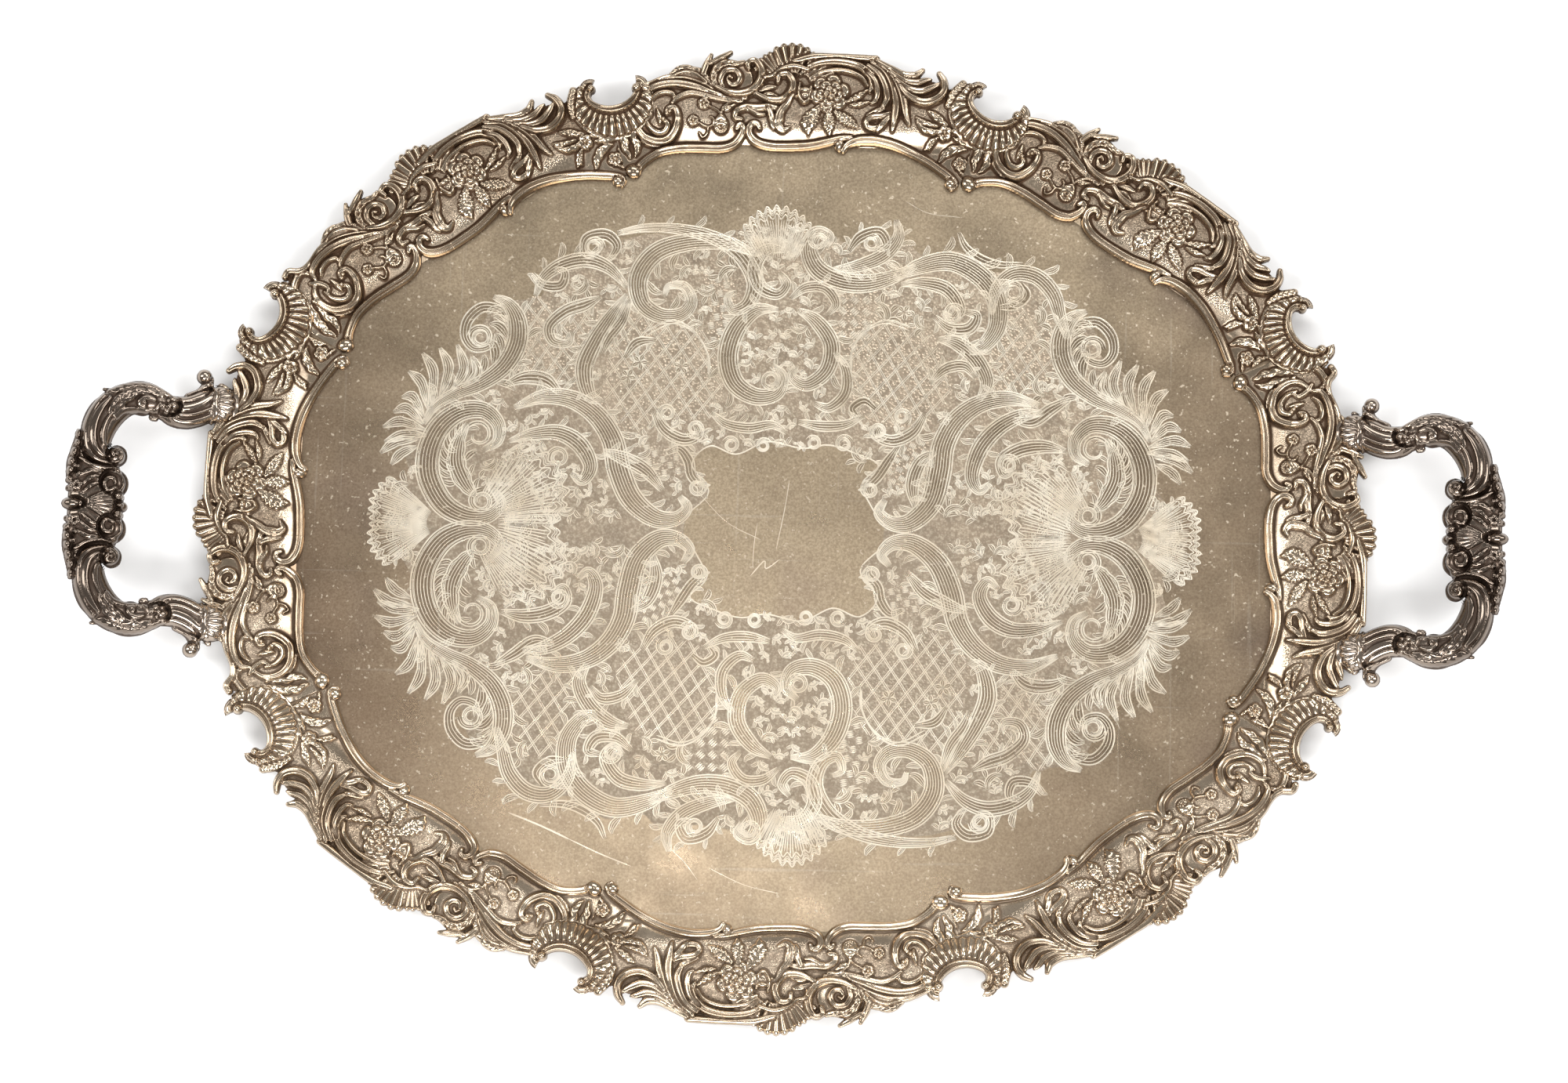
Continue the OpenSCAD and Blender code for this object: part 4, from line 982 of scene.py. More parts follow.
def engrave_half():
    """One half of the pattern; the other is the same turned by half a turn."""
    g = Graver()
    for way in (-1, 1):
        def across(points, way=way):
            return [(x * way, y, half) for x, y, half in points]

        # C-scroll at the end of the tray, its inner leaf, and the plume over it
        big = across([(158, 39, 1.4), (151, 44, 2.6), (151, 53, 3.4), (159, 60, 4.2), (171, 59, 5.0),
                      (181, 51, 5.6), (186.5, 38, 6.0), (186, 24, 6.0), (178, 10, 5.8), (166, 3.6, 4.8),
                      (154, 4.4, 3.6), (148, 11, 2.6), (152, 18, 1.4)])
        g.flow(big, 8)
        g.leaflets(big, -way, 7, 9, 30, 3, 0.3, 0.62, 50)
        g.volute((161 * way, 47), 7.5, 0 if way > 0 else 180, way, 1.0, 2, 0.1)
        g.volute((158 * way, 12), 6.0, 90, -way, 1.4, 3)
        inner = across([(161, 14, 1.0), (167, 21, 4.0), (172, 32, 4.6), (171, 44, 3.2), (167, 53, 1.0)])
        g.flow(inner, 7, scallops=5)
        g.leaflets(inner, way, 5, 7, 35, 3)
        plume = across([(190, 52, 1.0), (184, 62, 2.4), (173, 69, 3.2), (160, 75, 4.0), (149, 84, 4.8),
                        (143, 96, 5.2), (143, 108, 4.8), (148, 117, 3.2), (156, 121, 1.2)])
        g.flow(plume, 8)
        g.leaflets(plume, -way, 9, 12, 30, 4, 0.12, 0.9, 45)
        g.leaflets(plume, way, 6, 9, 30, 4, 0.2, 0.85, 40)
        g.flow(across([(148, 108, 1.0), (153, 114, 2.2), (162, 115, 2.6), (169, 108, 2.6), (170, 99, 2.2),
                       (165, 93, 1.9), (157.5, 94.6, 1.7), (156, 101, 1.2)]), 4)
        for root, mid, tip in (((188, 46), (200, 46), (210, 42)), ((189, 49), (202, 53), (211, 50)),
                               ((190, 52), (199, 60), (206, 58)), ((190, 56), (196, 66), (202, 66)),
                               ((188, 60), (192, 74), (199, 80)), ((186, 62), (186, 80), (192, 90)),
                               ((182, 66), (178, 82), (183, 93)), ((176, 70), (170, 82), (174, 95)),
                               ((170, 72), (163, 80), (166, 89)), ((193, 40), (201, 36), (206, 30)),
                               ((192, 44), (204, 42), (212, 36))):
            g.flow(across([(*root, 0.6), (*mid, 2.4), (*tip, 0.8)]), 5, scallops=2)
        # shells back to back on the long axis; the half turn gives their other halves
        if way < 0:
            g.shell((-178, 0), 139, 181, 8, 39, 36, 6)
            g.shell((-166, 0), 62, 0, 17, 57, 46, 8)
        else:
            g.shell((178, 0), 41, -1, 8, 39, 36, 6)
            g.shell((166, 0), 118, 180, 17, 57, 46, 8)
    # scrolls of the left quarter
    for pts, count, leaf in (
            ([(-20, 148, 1.5), (-34, 153, 3.5), (-54, 153, 4.5), (-71, 147, 5.0), (-80, 134, 5.0),
              (-78, 120, 4.5), (-68, 113, 4.0), (-57, 114, 3.5), (-52, 121, 3.0), (-56, 129, 2.4),
              (-64, 129, 1.6), (-66, 124, 1.0)], 8, (1, 8, 9)),
            ([(-92, 157, 1.2), (-78, 160, 2.0), (-60, 160, 2.6), (-42, 156, 3.4), (-27, 147, 4.2),
              (-19, 133, 4.2), (-22, 121, 3.4), (-30, 117, 2.4), (-33, 124, 1.6), (-28, 127, 1.0)],
             6, (1, 7, 7)),
            ([(-6, 118, 1.0), (-18, 117, 3.5), (-28, 107, 5.0), (-32, 92, 5.2), (-28, 78, 5.0),
              (-17, 71, 4.4), (-6, 73, 3.6), (-3, 82, 2.6), (-9, 88, 1.4)], 8, (-1, 7, 8)),
            ([(-3, 150, 1.2), (-13, 150, 3.0), (-19, 141, 3.6), (-16, 130, 3.4), (-7, 126, 2.6),
              (-2, 132, 2.0), (-6, 138, 1.0)], 5, (1, 4, 6)),
            ([(-134, 122, 1.0), (-130, 132, 2.6), (-121, 139, 3.6), (-108, 142, 3.8), (-96, 138, 3.0),
              (-86, 128, 1.2)], 6, (1, 7, 8)),
            ([(-96, 142, 1.0), (-92, 150, 2.2), (-98, 156, 2.8), (-108, 154, 2.4), (-109, 146, 1.8),
              (-103, 144, 1.0)], 4, (0, 0, 0)),
            ([(-136, 134, 1.0), (-130, 128, 2.2), (-121, 128, 2.4), (-119, 135, 1.8), (-125, 137, 1.0)],
             4, (0, 0, 0)),
            ([(-100, 122, 1.0), (-108, 118, 3.2), (-118, 114, 3.2), (-126, 106, 2.8), (-124, 98, 2.4),
              (-116, 97, 1.8), (-114, 103, 1.2)], 5, (1, 5, 6)),
            ([(-86, 124, 1.0), (-94, 112, 3.2), (-102, 98, 4.2), (-107, 84, 4.6), (-104, 70, 3.4),
              (-97, 66, 1.4)], 7, (-1, 8, 7)),
            ([(-84, 122, 1.0), (-88, 110, 2.4), (-95, 100, 2.6), (-98, 92, 1.2)], 5, (1, 5, 6)),
            ([(-143, 62, 1.2), (-128, 68, 3.6), (-113, 67, 4.6), (-100, 59, 5.2), (-91, 46, 5.6),
              (-87, 30, 6.0), (-80, 15, 5.8), (-68, 5.4, 4.8), (-57, 5, 3.6), (-51, 11, 2.6),
              (-55, 17, 1.4)], 9, (1, 10, 8)),
            ([(-145, 44, 1.0), (-133, 48, 3.0), (-119, 49, 4.0), (-108, 43, 4.4), (-102, 32, 3.6),
              (-106, 24, 2.6), (-112, 28, 1.2)], 7, (1, 6, 6)),
            ([(-148, 74, 1.2), (-138, 78, 3.2), (-127, 77, 3.4), (-119, 70, 1.2)], 5, (1, 5, 6)),
            ([(-96, 40, 1.2), (-84, 36, 3.4), (-73, 30, 3.4), (-64, 20, 1.4)], 6, (1, 5, 7)),
            ([(-70, 62, 1.4), (-64, 52, 2.8), (-54, 47, 3.0), (-46, 50, 2.4), (-48, 56, 1.2)],
             5, (-1, 5, 6)),
            ([(-62, 40, 1.0), (-56, 42, 2.0), (-51, 36, 2.6), (-49, 28, 2.4), (-44, 22, 2.0),
              (-45, 17, 1.0)], 4, (1, 4, 5)),
            ([(-40, 62, 1.0), (-32, 56, 2.2), (-20, 54, 2.6), (-8, 56, 2.0), (0, 52, 1.0)], 5, (1, 6, 6)),
            ([(-70, 100, 1.0), (-80, 98, 2.4), (-86, 90, 1.0)], 4, (1, 3, 5)),
            # and of the right quarter
            ([(66, 143, 1.2), (54, 137, 3.4), (40, 133, 4.6), (26, 134, 5.0), (14, 140, 5.0),
              (9, 151, 4.2), (13, 160, 3.2), (20, 158, 2.2), (18, 152, 1.2)], 8, (-1, 6, 9)),
            ([(22, 140, 1.2), (34, 142, 3.0), (48, 148, 3.6), (56, 158, 3.0), (55, 168, 1.2)],
             7, (-1, 8, 8)),
            ([(30, 150, 1.0), (36, 158, 2.6), (46, 161, 2.6), (50, 154, 2.0), (44, 151, 1.0)],
             4, (1, 4, 6)),
            ([(54, 136, 1.4), (68, 143, 4.0), (84, 146, 5.0), (99, 139, 5.4), (108, 127, 5.2),
              (109, 112, 4.6), (102, 101, 3.6), (94, 98, 2.0)],
             9, (1, 9, 9)),
            ([(58, 133, 1.0), (70, 134, 3.0), (82, 131, 3.6), (89, 121, 3.0), (85, 115, 2.2),
              (80, 119, 1.2)], 6, (-1, 5, 6)),
            ([(88, 162, 0.8), (92, 154, 1.6), (100, 148, 2.0), (110, 145, 1.7), (122, 145.6, 0.8)],
             3, (0, 0, 0)),
            ([(106, 118, 1.0), (108, 131, 3.0), (117, 140, 3.8), (129, 139, 4.2), (138, 130, 4.0),
              (142, 118, 3.0), (146, 106, 1.4)], 7, (1, 8, 8)),
            ([(110, 122, 1.0), (118, 123, 2.2), (124, 129, 2.2), (121, 135, 1.2)], 3, (0, 0, 0)),
            ([(76, 116, 1.2), (84, 110, 2.6), (94, 110, 3.2), (98, 117, 2.4), (92, 119, 1.2)],
             5, (-1, 5, 6)),
            ([(78, 104, 1.2), (88, 102, 3.6), (98, 94, 4.0), (104, 82, 3.4), (100, 72, 1.4)], 7, (1, 7, 7)),
            ([(74, 80, 1.0), (82, 88, 2.6), (92, 90, 2.6), (98, 84, 1.0)], 5, (1, 4, 6)),
            ([(132, 70, 1.2), (116, 73, 3.8), (101, 70, 4.6), (89, 61, 5.4), (82, 48, 5.8), (80, 33, 6.0),
              (76, 17, 5.6), (66, 6.4, 4.8), (56, 5.4, 3.6), (49, 11, 2.6), (52, 18, 1.4)], 9, (-1, 10, 8)),
            ([(134, 66, 1.2), (122, 64, 3.4), (110, 57, 4.2), (101, 46, 4.4), (97, 32, 3.6),
              (101, 24, 2.4), (107, 28, 1.2)], 7, (-1, 8, 7)),
            ([(146, 46, 1.2), (134, 48, 3.4), (122, 46, 3.8), (113, 40, 3.4), (114, 33, 2.4),
              (120, 36, 1.2)], 6, (-1, 6, 7)),
            ([(148, 74, 1.2), (138, 68, 3.0), (128, 61, 3.0), (118, 62, 1.2)], 5, (-1, 5, 6)),
            ([(78, 44, 1.2), (70, 38, 3.2), (66, 26, 3.4), (68, 14, 1.4)], 6, (1, 5, 6)),
            ([(72, 64, 1.4), (66, 54, 2.8), (56, 49, 3.0), (47, 52, 2.4), (49, 58, 1.2)], 5, (1, 5, 6)),
            ([(58, 46, 1.0), (53, 38, 2.4), (48, 30, 2.4), (43, 24, 2.0), (45, 19, 1.0)], 4, (-1, 4, 5)),
            ([(40, 62, 1.0), (30, 57, 2.2), (18, 56, 2.6), (6, 58, 1.2)], 5, (-1, 5, 6)),
            ([(4, 118, 1.2), (14, 112, 3.6), (22, 100, 4.2), (20, 86, 4.0), (10, 78, 3.4), (2, 82, 2.4),
              (4, 88, 1.2)], 7, (1, 7, 8)),
            ([(0, 124, 1.0), (8, 130, 2.4), (18, 130, 2.6), (24, 122, 2.2), (20, 116, 1.0)], 5, (1, 5, 6)),
            ([(24, 96, 1.0), (30, 86, 2.4), (30, 74, 2.8), (22, 66, 2.4), (14, 68, 1.2)], 5, (1, 5, 6)),
            ([(46, 66, 1.0), (40, 70, 1.8), (34, 66, 1.8), (37, 61, 1.0)], 3, (0, 0, 0))):
        g.flow(pts, count)
        side, number, length = leaf
        if number:
            g.leaflets(pts, side, number, length, 32, 4, 0.1, 0.85, 40)
    g.shell((-6, 128), 122, 64, 18, 45, 38, 9)
    for at, radius, start, turn in (((-48, 53), 4.6, 200, 1), ((-29, 45), 4, 160, -1), ((-12, 45),
        3.6, 20, 1), ((-63, 61), 4.4, 240, -1),
                                    ((-46, 22), 4.6, 100, -1), ((48, 54), 4.6, 340, -1), ((30, 47),
                                        4.2, 20, 1), ((14, 47), 3.6, 160, -1),
                                    ((60, 62), 4.2, 300, 1), ((44, 23), 4.4, 80, 1), ((86, 118), 5, 0, 1),
                                    ((117, 130), 6, 200, -1), ((159, 101), 6, 0, 1), ((-162, 99),
                                        6, 180, -1), ((14, 156), 5, 90, 1), ((-104, 149), 5, 0, 1),
                                    ((-9, 80), 5, 0, -1), ((42, 155), 4.4, 90, -1), ((116, 38), 5, 0, 1),
                                    ((-119, 36), 5, 180, -1)):
        g.volute(at, radius, start, turn)
    # sprigs of flowers
    for at in ((-78, 88), (-84, 80), (82, 62), (60, 118), (-56, 86)):
        for k in range(5):
            a = math.radians(72 * k + at[0])
            g.flow([(at[0] + 0.8 * math.cos(a), at[1] + 0.8 * math.sin(a), 0.4),
                    (at[0] + 2.6 * math.cos(a), at[1] + 2.6 * math.sin(a), 1.3),
                    (at[0] + 4.2 * math.cos(a), at[1] + 4.2 * math.sin(a), 0.4)], 3)
    g.fill(WORKED, BARE_MIDDLE + turned(BARE_MIDDLE))
    for outline, tilt in zip(DIAPERS, (58, 52, 48, 50)):
        g.lattice(outline, 7.0, tilt)
    for outline, spacing, tilt in CHECKERS:
        g.checks(outline, spacing, tilt)
    for arch in ([(-76, 104), (-62, 110.6), (-50, 105), (-42.6, 93), (-42, 82)], [(33, 86), (33.4, 98),
        (40, 108), (51, 113.4), (64, 110)]):
        g.line([(x, y, 0) for x, y in arch], 0.4)
        g.line([(x * 0.985, y * 0.985, 0) for x, y in arch], 0.3)
    g.line([(x, y, 0) for x, y in BARE_MIDDLE], 0.3)
    return g


def strokes_mesh(name, strokes, base=STROKE_LAYER, height=1.0):
    """Each stroke as a shallow V between two raised lips, standing on the sheet."""
    profile = np.array([-1.25, -0.7, 0, 0.7, 1.25])
    lift = np.array([0.0, 0.040, 0.010, 0.040, 0.0])
    points, faces, start = [], [], 0
    for line, half in strokes:
        ahead = np.gradient(line, axis=0)
        ahead /= np.linalg.norm(ahead, axis=1)[:, None] + 1e-9
        normal = np.stack([-ahead[:, 1], ahead[:, 0]], 1)
        rows = line[:, None, :] + normal[:, None, :] * (half[:, None] * profile)[..., None]
        z = SHEET + base + height * lift * np.clip(half / 0.25, 0.4, 1.3)[:, None]
        points.append(np.dstack([rows, z[..., None]]).reshape(-1, 3))
        n = len(line)
        corner = (np.arange(n - 1)[:, None] * 5 + np.arange(4)).ravel() + start
        faces.append(np.stack([corner, corner + 1, corner + 6, corner + 5], 1)[:, ::-1])
        start += n * 5
    return new_mesh(name, np.vstack(points) * MM, np.vstack(faces).tolist())


def patch_mesh(name, outline, height, hole=None):
    """A flat worked patch just proud of the sheet."""
    rim = [Vector(p) for p in curve([(x, y, 0) for x, y in outline + outline[:1]], 2.0)[:-1, :2]]
    links = [(k, (k + 1) % len(rim)) for k in range(len(rim))]
    if hole:
        inner = [Vector(p) for p in curve([(x, y, 0) for x, y in hole + hole[:1]], 2.0)[:-1, :2]]
        links += [(len(rim) + k, len(rim) + (k + 1) % len(inner)) for k in range(len(inner))]
        rim += inner
    flat, _, triangles, _, _, _ = delaunay_2d_cdt(rim, links, [], 1, 1e-5)
    points = np.array([(*v, SHEET + height) for v in flat])
    if hole:
        middles = np.array([points[list(t), :2].mean(0) for t in triangles])
        bare = within(np.array([v[:] for v in inner]), middles)
        triangles = [t for t, out in zip(triangles, bare) if not out]
    return new_mesh(name, points * MM, [list(t) for t in triangles])


def bodies_mesh(name, bodies, height):
    """The bare metal inside each scroll and leaf, over the worked ground."""
    points, faces, start = [], [], 0
    for n, body in enumerate(bodies):
        z = np.full(body.shape[:2] + (1,), SHEET + height + LEAF_RISE * (n % 100))
        points.append(np.concatenate([body, z], 2).reshape(-1, 3))
        corner = np.arange(len(body) - 1) * 2 + start
        faces.append(np.stack([corner, corner + 2, corner + 3, corner + 1], 1))
        start += len(body) * 2
    return new_mesh(name, np.vstack(points) * MM, np.vstack(faces).tolist())


# ---- Materials

class Shader:
    """Builds one node material."""

    def __init__(self, name):
        self.material = bpy.data.materials.new(name)
        self.material.use_nodes = True
        self.tree = self.material.node_tree
        self.surface = self.tree.nodes["Principled BSDF"]
        self.place = self.add("NewGeometry").outputs["Position"]

    def add(self, kind, **settings):
        node = self.tree.nodes.new("ShaderNode" + kind)
        for key, value in settings.items():
            setattr(node, key, value)
        return node

    def feed(self, socket, value):
        if isinstance(value, bpy.types.NodeSocket):
            self.tree.links.new(value, socket)
        else:
            socket.default_value = value

    def stretched(self, scale, turn=0.0):
        node = self.add("Mapping")
        self.feed(node.inputs["Vector"], self.place)
        node.inputs["Scale"].default_value = scale
        node.inputs["Rotation"].default_value[2] = turn
        return node.outputs["Vector"]

    def noise(self, scale, detail=3.0, roughness=0.55, vector=None):
        node = self.add("TexNoise")
        self.feed(node.inputs["Vector"], self.place if vector is None else vector)
        node.inputs["Scale"].default_value = scale
        node.inputs["Detail"].default_value = detail
        node.inputs["Roughness"].default_value = roughness
        return node.outputs["Fac"]

    def cells(self, scale):
        node = self.add("TexVoronoi")
        self.feed(node.inputs["Vector"], self.place)
        node.inputs["Scale"].default_value = scale
        return node.outputs["Distance"]

    def fitted(self, value, low, high, to_low=0.0, to_high=1.0):
        node = self.add("MapRange")
        self.feed(node.inputs["Value"], value)
        for key, number in (("From Min", low), ("From Max", high), ("To Min", to_low), ("To Max", to_high)):
            node.inputs[key].default_value = number
        return node.outputs["Result"]

    def sum(self, operation, a, b):
        node = self.add("Math", operation=operation)
        self.feed(node.inputs[0], a)
        self.feed(node.inputs[1], b)
        return node.outputs[0]

    def mix(self, factor, a, b):
        node = self.add("Mix", data_type="RGBA")
        self.feed(node.inputs[0], factor)
        self.feed(node.inputs[6], a if isinstance(a, bpy.types.NodeSocket) else (*a, 1))
        self.feed(node.inputs[7], b if isinstance(b, bpy.types.NodeSocket) else (*b, 1))
        return node.outputs[2]

    def layer(self, name):
        return self.add("Attribute", attribute_name=name).outputs["Fac"]

    def axis(self, name):
        node = self.add("SeparateXYZ")
        self.feed(node.inputs[0], self.place)
        return node.outputs[name]

    def bump(self, height, distance, below=None):
        node = self.add("Bump")
        self.feed(node.inputs["Height"], height)
        node.inputs["Distance"].default_value = distance
        if below is not None:
            self.feed(node.inputs["Normal"], below)
        return node.outputs["Normal"]

    def finish(self, color, roughness, metallic=1.0, normal=None):
        self.feed(self.surface.inputs["Base Color"], color)
        self.feed(self.surface.inputs["Roughness"], roughness)
        self.feed(self.surface.inputs["Metallic"], metallic)
        if normal is not None:
            self.feed(self.surface.inputs["Normal"], normal)
        return self.material


def cast_silver(name, bright, dull, stain_color, shine, dark_from=None):
    """Silver plate over a casting: bright on the crests and brown in the recesses.
    It is duller outward, darker toward the back as painted shade, and darker past dark_from on the handles."""
    s = Shader(name)
    patches = s.fitted(s.noise(38, 4), 0.35, 0.68)
    grain = s.noise(900, 3)
    worn = s.mix(patches, bright, dull)
    worn = s.mix(s.sum("MULTIPLY", s.layer("outer"), 0.55), worn, dull)
    if dark_from:
        far = s.fitted(s.sum("ABSOLUTE", s.axis("X"), 0.0), *dark_from)
        worn = s.mix(far, worn, tuple(0.42 * c for c in dull))
    # painted shade: the colour darkens toward the back of the tray
    back_painted_shade = s.fitted(s.axis("Y"), -0.16, 0.14, 0.0, 0.42)
    worn = s.mix(back_painted_shade, worn, [0.62 * c for c in dull])
    stain = s.sum("ADD", s.layer("stain"), s.fitted(s.noise(120, 4), 0.3, 0.75, -0.12, 0.2))
    # painted shade: the recess stain is weakened toward the front and full toward the back
    deep = s.sum("MULTIPLY", s.fitted(stain, 0.02, 0.52), s.fitted(s.axis("Y"), -0.18, 0.1, 0.72, 1.0))
    panel = s.sum("MULTIPLY", s.layer("matted"), s.fitted(s.noise(260, 4), 0.3, 0.7, 0.12, 0.62))
    cover = s.sum("MAXIMUM", deep, panel)
    color = s.mix(cover, worn, stain_color)
    speckle = s.fitted(s.noise(1500, 2), 0.62, 0.72, 0, 0.35)
    color = s.mix(speckle, color, (0.10, 0.065, 0.04))
    rough = s.sum("ADD", s.fitted(cover, 0, 1, shine, 0.5), s.fitted(grain, 0.3, 0.7, -0.05, 0.07))
    dots = s.sum("MULTIPLY", s.fitted(s.cells(1300), 0.1, 0.6), s.layer("matted"))
    normal = s.bump(dots, 0.00022)
    normal = s.bump(grain, 0.00002, normal)
    return s.finish(color, rough, s.fitted(cover, 0, 1, 1.0, 0.7), normal)


def sheet_tone(s):
    """How light the tarnish is: paler along the middle and at the back, brown at both ends."""
    ends = s.sum("POWER", s.sum("ABSOLUTE", s.sum("DIVIDE", s.axis("X"), 0.26), 0.0), 2.0)
    tone = s.sum("ADD", s.fitted(ends, 0, 1, 0.62, 0.0), s.fitted(s.axis("Y"), -0.2, 0.2, 0.28, 0.66))
    return s.sum("ADD", tone, s.fitted(s.noise(6, 4), 0.3, 0.7, -0.16, 0.16))


def tarnished_sheet(name, light):
    """The well: thin tarnish in browns and beige, with pale specks and faint scratches."""
    s = Shader(name)
    dark, pale = ([light * c for c in tone] for tone in ((0.26, 0.18, 0.12), (0.56, 0.45, 0.31)))
    color = s.mix(s.fitted(sheet_tone(s), 0.28, 1.1), dark, pale)
    violet = s.fitted(s.noise(11, 3), 0.56, 0.72, 0, 0.35)
    color = s.mix(violet, color, (0.27, 0.195, 0.175))
    clouds = s.fitted(s.noise(60, 5), 0.4, 0.75, 0, 0.22)
    color = s.mix(clouds, color, [light * c for c in (0.58, 0.47, 0.34)])
    grit = s.fitted(s.noise(900, 3), 0.35, 0.65, 0, 0.42)
    color = s.mix(grit, color, (0.17, 0.11, 0.07))
    specks = s.fitted(s.noise(430, 2), 0.655, 0.70, 0, 0.75)
    color = s.mix(specks, color, (0.72, 0.62, 0.48))
    scratch = s.noise(420, 2, 0.5, s.stretched((1, 0.02, 1), 0.62))
    scratch_2 = s.noise(380, 2, 0.5, s.stretched((0.02, 1, 1), 0.27))
    lines = s.sum("MAXIMUM", s.fitted(scratch, 0.68, 0.73), s.fitted(scratch_2, 0.69, 0.74))
    color = s.mix(s.sum("MULTIPLY", lines, 0.10), color, (0.85, 0.80, 0.70))
    rough = s.sum("ADD", s.fitted(s.noise(25, 5), 0.3, 0.7, 0.25, 0.36), s.sum("MULTIPLY", specks, 0.12))
    normal = s.bump(s.noise(500, 4), 0.000008)
    normal = s.bump(lines, 0.00001, normal)
    return s.finish(color, rough, 1.0, normal)


def cut_lines(name):
    """Burnished cuts, lighter than the tarnish round them."""
    s = Shader(name)
    color = s.mix(s.fitted(s.noise(45, 3), 0.35, 0.68), (0.92, 0.84, 0.70), (0.74, 0.63, 0.48))
    rough = s.fitted(s.noise(300, 2), 0.3, 0.7, 0.25, 0.40)
    return s.finish(color, rough, 1.0, s.bump(s.noise(1600, 2), 0.00002))


def worked_ground(name, light, dark, amount):
    """Ground matted with a punch: rough and stippled."""
    s = Shader(name)
    color = s.mix(s.fitted(sheet_tone(s), 0.28, 1.0), dark, light)
    clouds = s.fitted(s.noise(40, 5), 0.35, 0.7, 0, 0.35)
    color = s.mix(clouds, color, (0.62, 0.52, 0.40))
    dots = s.fitted(s.cells(760), 0.1, 0.6)
    color = s.mix(s.sum("MULTIPLY", dots, 0.38), color, (0.17, 0.12, 0.08))
    color = s.mix(s.fitted(s.noise(520, 2), 0.5, 0.7, 0, 0.4), color, (0.80, 0.70, 0.54))
    normal = s.bump(dots, amount)
    return s.finish(color, s.fitted(s.noise(90, 4), 0.3, 0.7, 0.30, 0.46), 1.0, normal)


# ---- Putting the tray together

def show(name, mesh, material, nodes, place=None):
    """A piece of the tray, its mesh moved to its place so that it shares the tray's axes."""
    if place is not None:
        mesh = mesh.copy()
        mesh.transform(place)
    mesh.name = name
    mesh.materials.append(material)
    piece = bpy.data.objects.new(name, mesh)
    bpy.context.scene.collection.objects.link(piece)
    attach(piece, "root")
    if nodes:
        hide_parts(*nodes)
    return piece


BORDER = cast_silver("cast_border", (0.68, 0.57, 0.44), (0.38, 0.295, 0.21), (0.07, 0.036, 0.017), 0.16)
HANDLE = cast_silver("cast_handle", (0.80, 0.68, 0.56), (0.40, 0.32, 0.26), (0.04, 0.022, 0.013),
                     0.13, (0.25, 0.34))
SHEET_METAL = tarnished_sheet("tarnished_sheet", 1.0)
LEAF_METAL = tarnished_sheet("tarnished_leaves", 0.72)

CASTINGS = build_castings()
for k in range(8):
    before, after = joint_before(k), joint_before((k + 1) % 8)
    place = repeat_place(k)
    show(f"bud_casting_{k + 1}", CASTINGS["bud", before], BORDER, [f"bud_mount_{k + 1}"],
         place)
    show(f"rose_casting_{k + 1}", CASTINGS["rose", after], BORDER, [f"rose_mount_{k + 1}"],
         place)

HANDLE_MESH = build_handle()
show("cast_handle_right", HANDLE_MESH.copy(), HANDLE, ["right_handle"], Matrix.Identity(4))
show("cast_handle_left", HANDLE_MESH.copy(), HANDLE, ["left_handle"],
     Matrix.Rotation(math.pi, 4, "Z"))

def engrave(name, mesh, material, place=None):
    """A layer of the engraving: it belongs to the sheet and replaces no node."""
    show(name, mesh, material, [], place)


CUTS = cut_lines("burnished_cuts")
GROUND = worked_ground("worked_ground", (0.46, 0.375, 0.28), (0.36, 0.285, 0.205), 0.00008)
MATTED = worked_ground("matted_panels", (0.50, 0.41, 0.31), (0.38, 0.305, 0.225), 0.00014)
HALF = engrave_half()
SHARES = 4
PANELS = DIAPERS + [checker[0] for checker in CHECKERS]
for part, place in enumerate((Matrix.Identity(4), Matrix.Rotation(math.pi, 4, "Z"))):
    for n in range(SHARES):
        lines = HALF.strokes[n::SHARES]
        engrave(f"engraving_{part * SHARES + n + 1}", strokes_mesh("engraving", lines), CUTS, place)
    lattice = strokes_mesh("lattice", HALF.panel_strokes, PANEL_LINE_LAYER, 0.28)
    engrave(f"panel_lines_{part + 1}", lattice, CUTS, place)
    engrave(f"bare_leaves_{part + 1}", bodies_mesh("bodies", HALF.bodies, LEAF_LAYER), LEAF_METAL, place)
    for n, outline in enumerate(PANELS):
        panel = patch_mesh("panel", outline, PANEL_LAYER + PANEL_RISE * n)
        engrave(f"matted_panel_{part * len(PANELS) + n + 1}", panel, MATTED, place)
scratches = Graver()
for points, half in SCRATCHES:
    scratches.line([(x, y, 0) for x, y in points], half)
engrave("scratches", strokes_mesh("scratches", scratches.strokes, SCRATCH_LAYER, 0.25), CUTS)
worked = patch_mesh("worked", WORKED + turned(WORKED), GROUND_LAYER, BARE_MIDDLE + turned(BARE_MIDDLE))
engrave("worked_ground", worked, GROUND)

for name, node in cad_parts.items():
    if name.startswith("tray_"):
        node.data.materials.clear()
        node.data.materials.append(SHEET_METAL)
    elif name in ("handle_screws", "handle_washers"):
        node.data.materials.clear()
        node.data.materials.append(HANDLE)


# ---- Floor, lights and camera

def plain(name, color, roughness):
    material = bpy.data.materials.new(name)
    material.use_nodes = True
    surface = material.node_tree.nodes["Principled BSDF"]
    surface.inputs["Base Color"].default_value = (*color, 1)
    surface.inputs["Roughness"].default_value = roughness
    return material


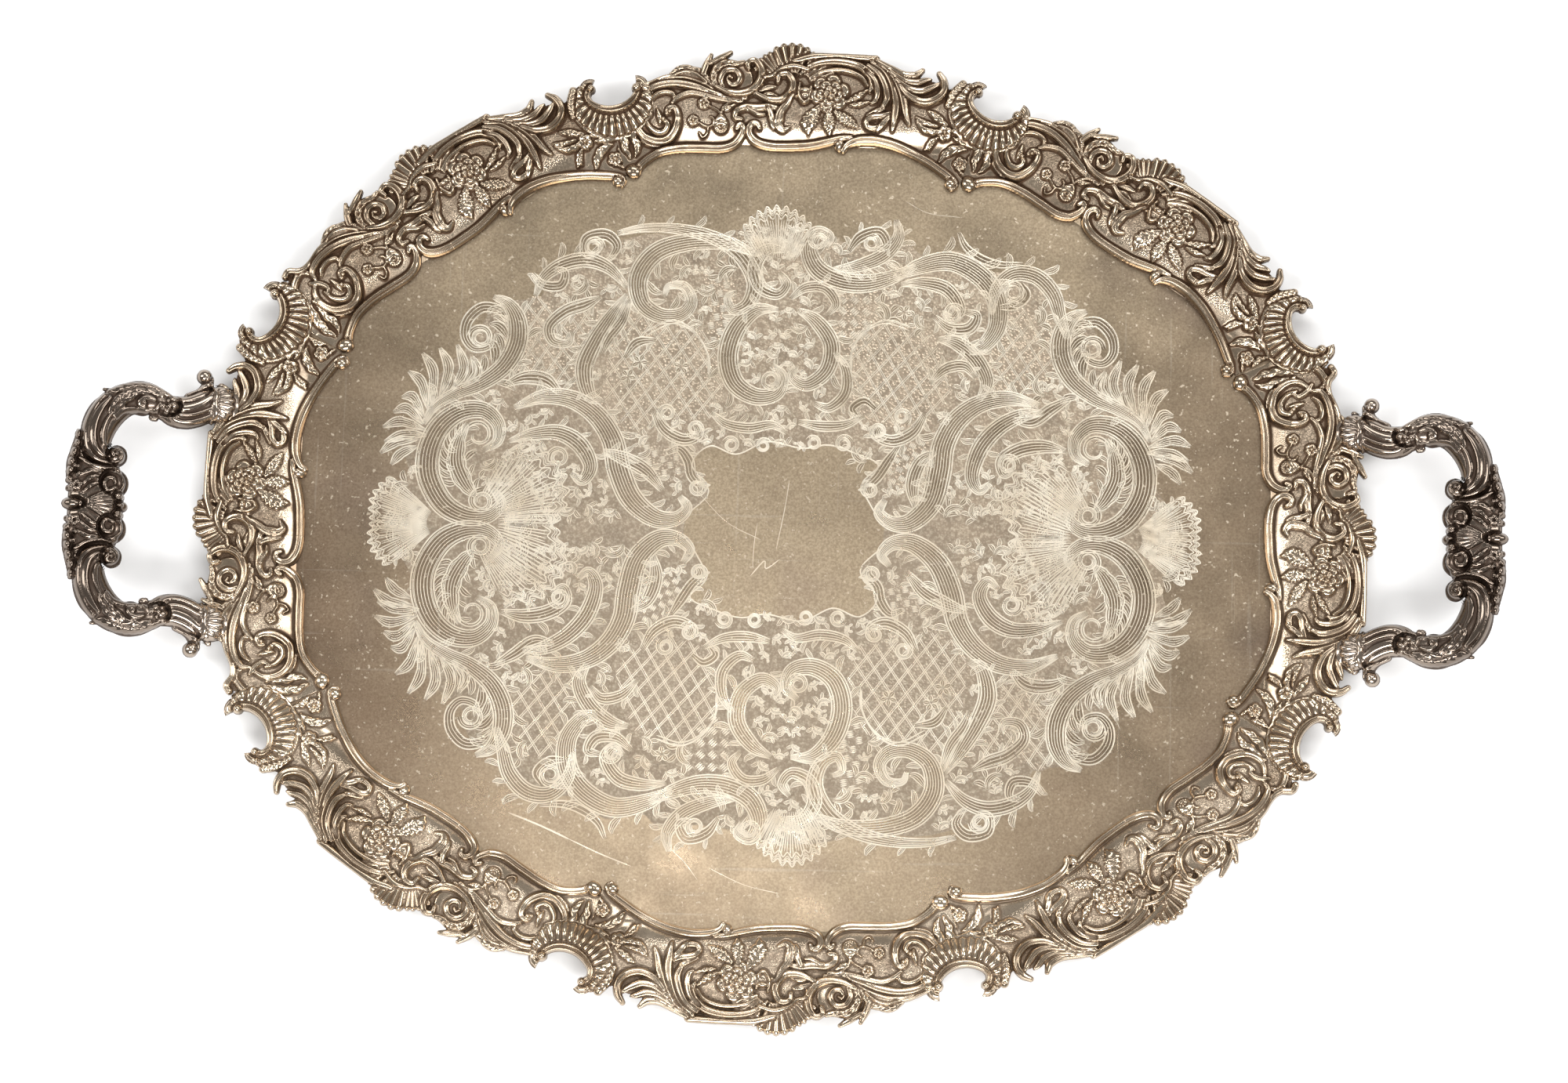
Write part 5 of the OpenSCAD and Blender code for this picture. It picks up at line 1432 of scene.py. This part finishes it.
bpy.ops.mesh.primitive_plane_add(size=6, location=(0, 0, -0.0002))
floor = bpy.context.object
floor.name = "floor"
floor.data.materials.append(plain("floor_paper", (0.93, 0.93, 0.93), 0.9))


def softbox(name, spot, aim, size, power):
    light = bpy.data.lights.new(name, "AREA")
    light.shape = "RECTANGLE"
    light.size, light.size_y = size
    light.energy = power
    lamp = bpy.data.objects.new(name, light)
    bpy.context.scene.collection.objects.link(lamp)
    lamp.location = spot
    lamp.rotation_euler = (Vector(aim) - Vector(spot)).to_track_quat("-Z", "Y").to_euler()


softbox("key_back", (0.3, 1.7, 1.9), (0, 0, 0), (2.2, 0.9), 28)
softbox("key_right", (1.9, 0.2, 1.7), (0, 0, 0), (0.9, 1.6), 28)
softbox("fill_left", (-1.9, 0.1, 1.5), (0, 0, 0), (0.8, 1.6), 24)
softbox("front", (0.0, -1.9, 1.4), (0, 0, 0), (1.8, 0.7), 56)
softbox("overhead", (-0.11, 0.02, 2.6), (-0.03, -0.16, 0), (0.34, 0.26), 2.8)

bpy.context.scene.view_settings.view_transform = "Standard"

world = bpy.data.worlds.new("studio")
bpy.context.scene.world = world
world.use_nodes = True
world.node_tree.nodes["Background"].inputs["Color"].default_value = (1.0, 0.98, 0.95, 1)
world.node_tree.nodes["Background"].inputs["Strength"].default_value = 0.38

CAMERA_AZIMUTH = math.radians(1.45)
CAMERA_ELEVATION = math.radians(80.8)
CAMERA_DISTANCE = 1.8
CAMERA_LENS = 79.5
LOOK_AT = Vector((0, -0.0055, 0.0015))
back = Vector((math.sin(CAMERA_AZIMUTH) * math.cos(CAMERA_ELEVATION),
               -math.cos(CAMERA_AZIMUTH) * math.cos(CAMERA_ELEVATION), math.sin(CAMERA_ELEVATION)))
camera = bpy.data.objects.new("camera", bpy.data.cameras.new("camera"))
bpy.context.scene.collection.objects.link(camera)
camera.data.sensor_width = 36
camera.data.lens = CAMERA_LENS
camera.location = LOOK_AT + back * CAMERA_DISTANCE
camera.rotation_euler = back.to_track_quat("Z", "Y").to_euler()
bpy.context.scene.camera = camera

bpy.context.view_layer.update()
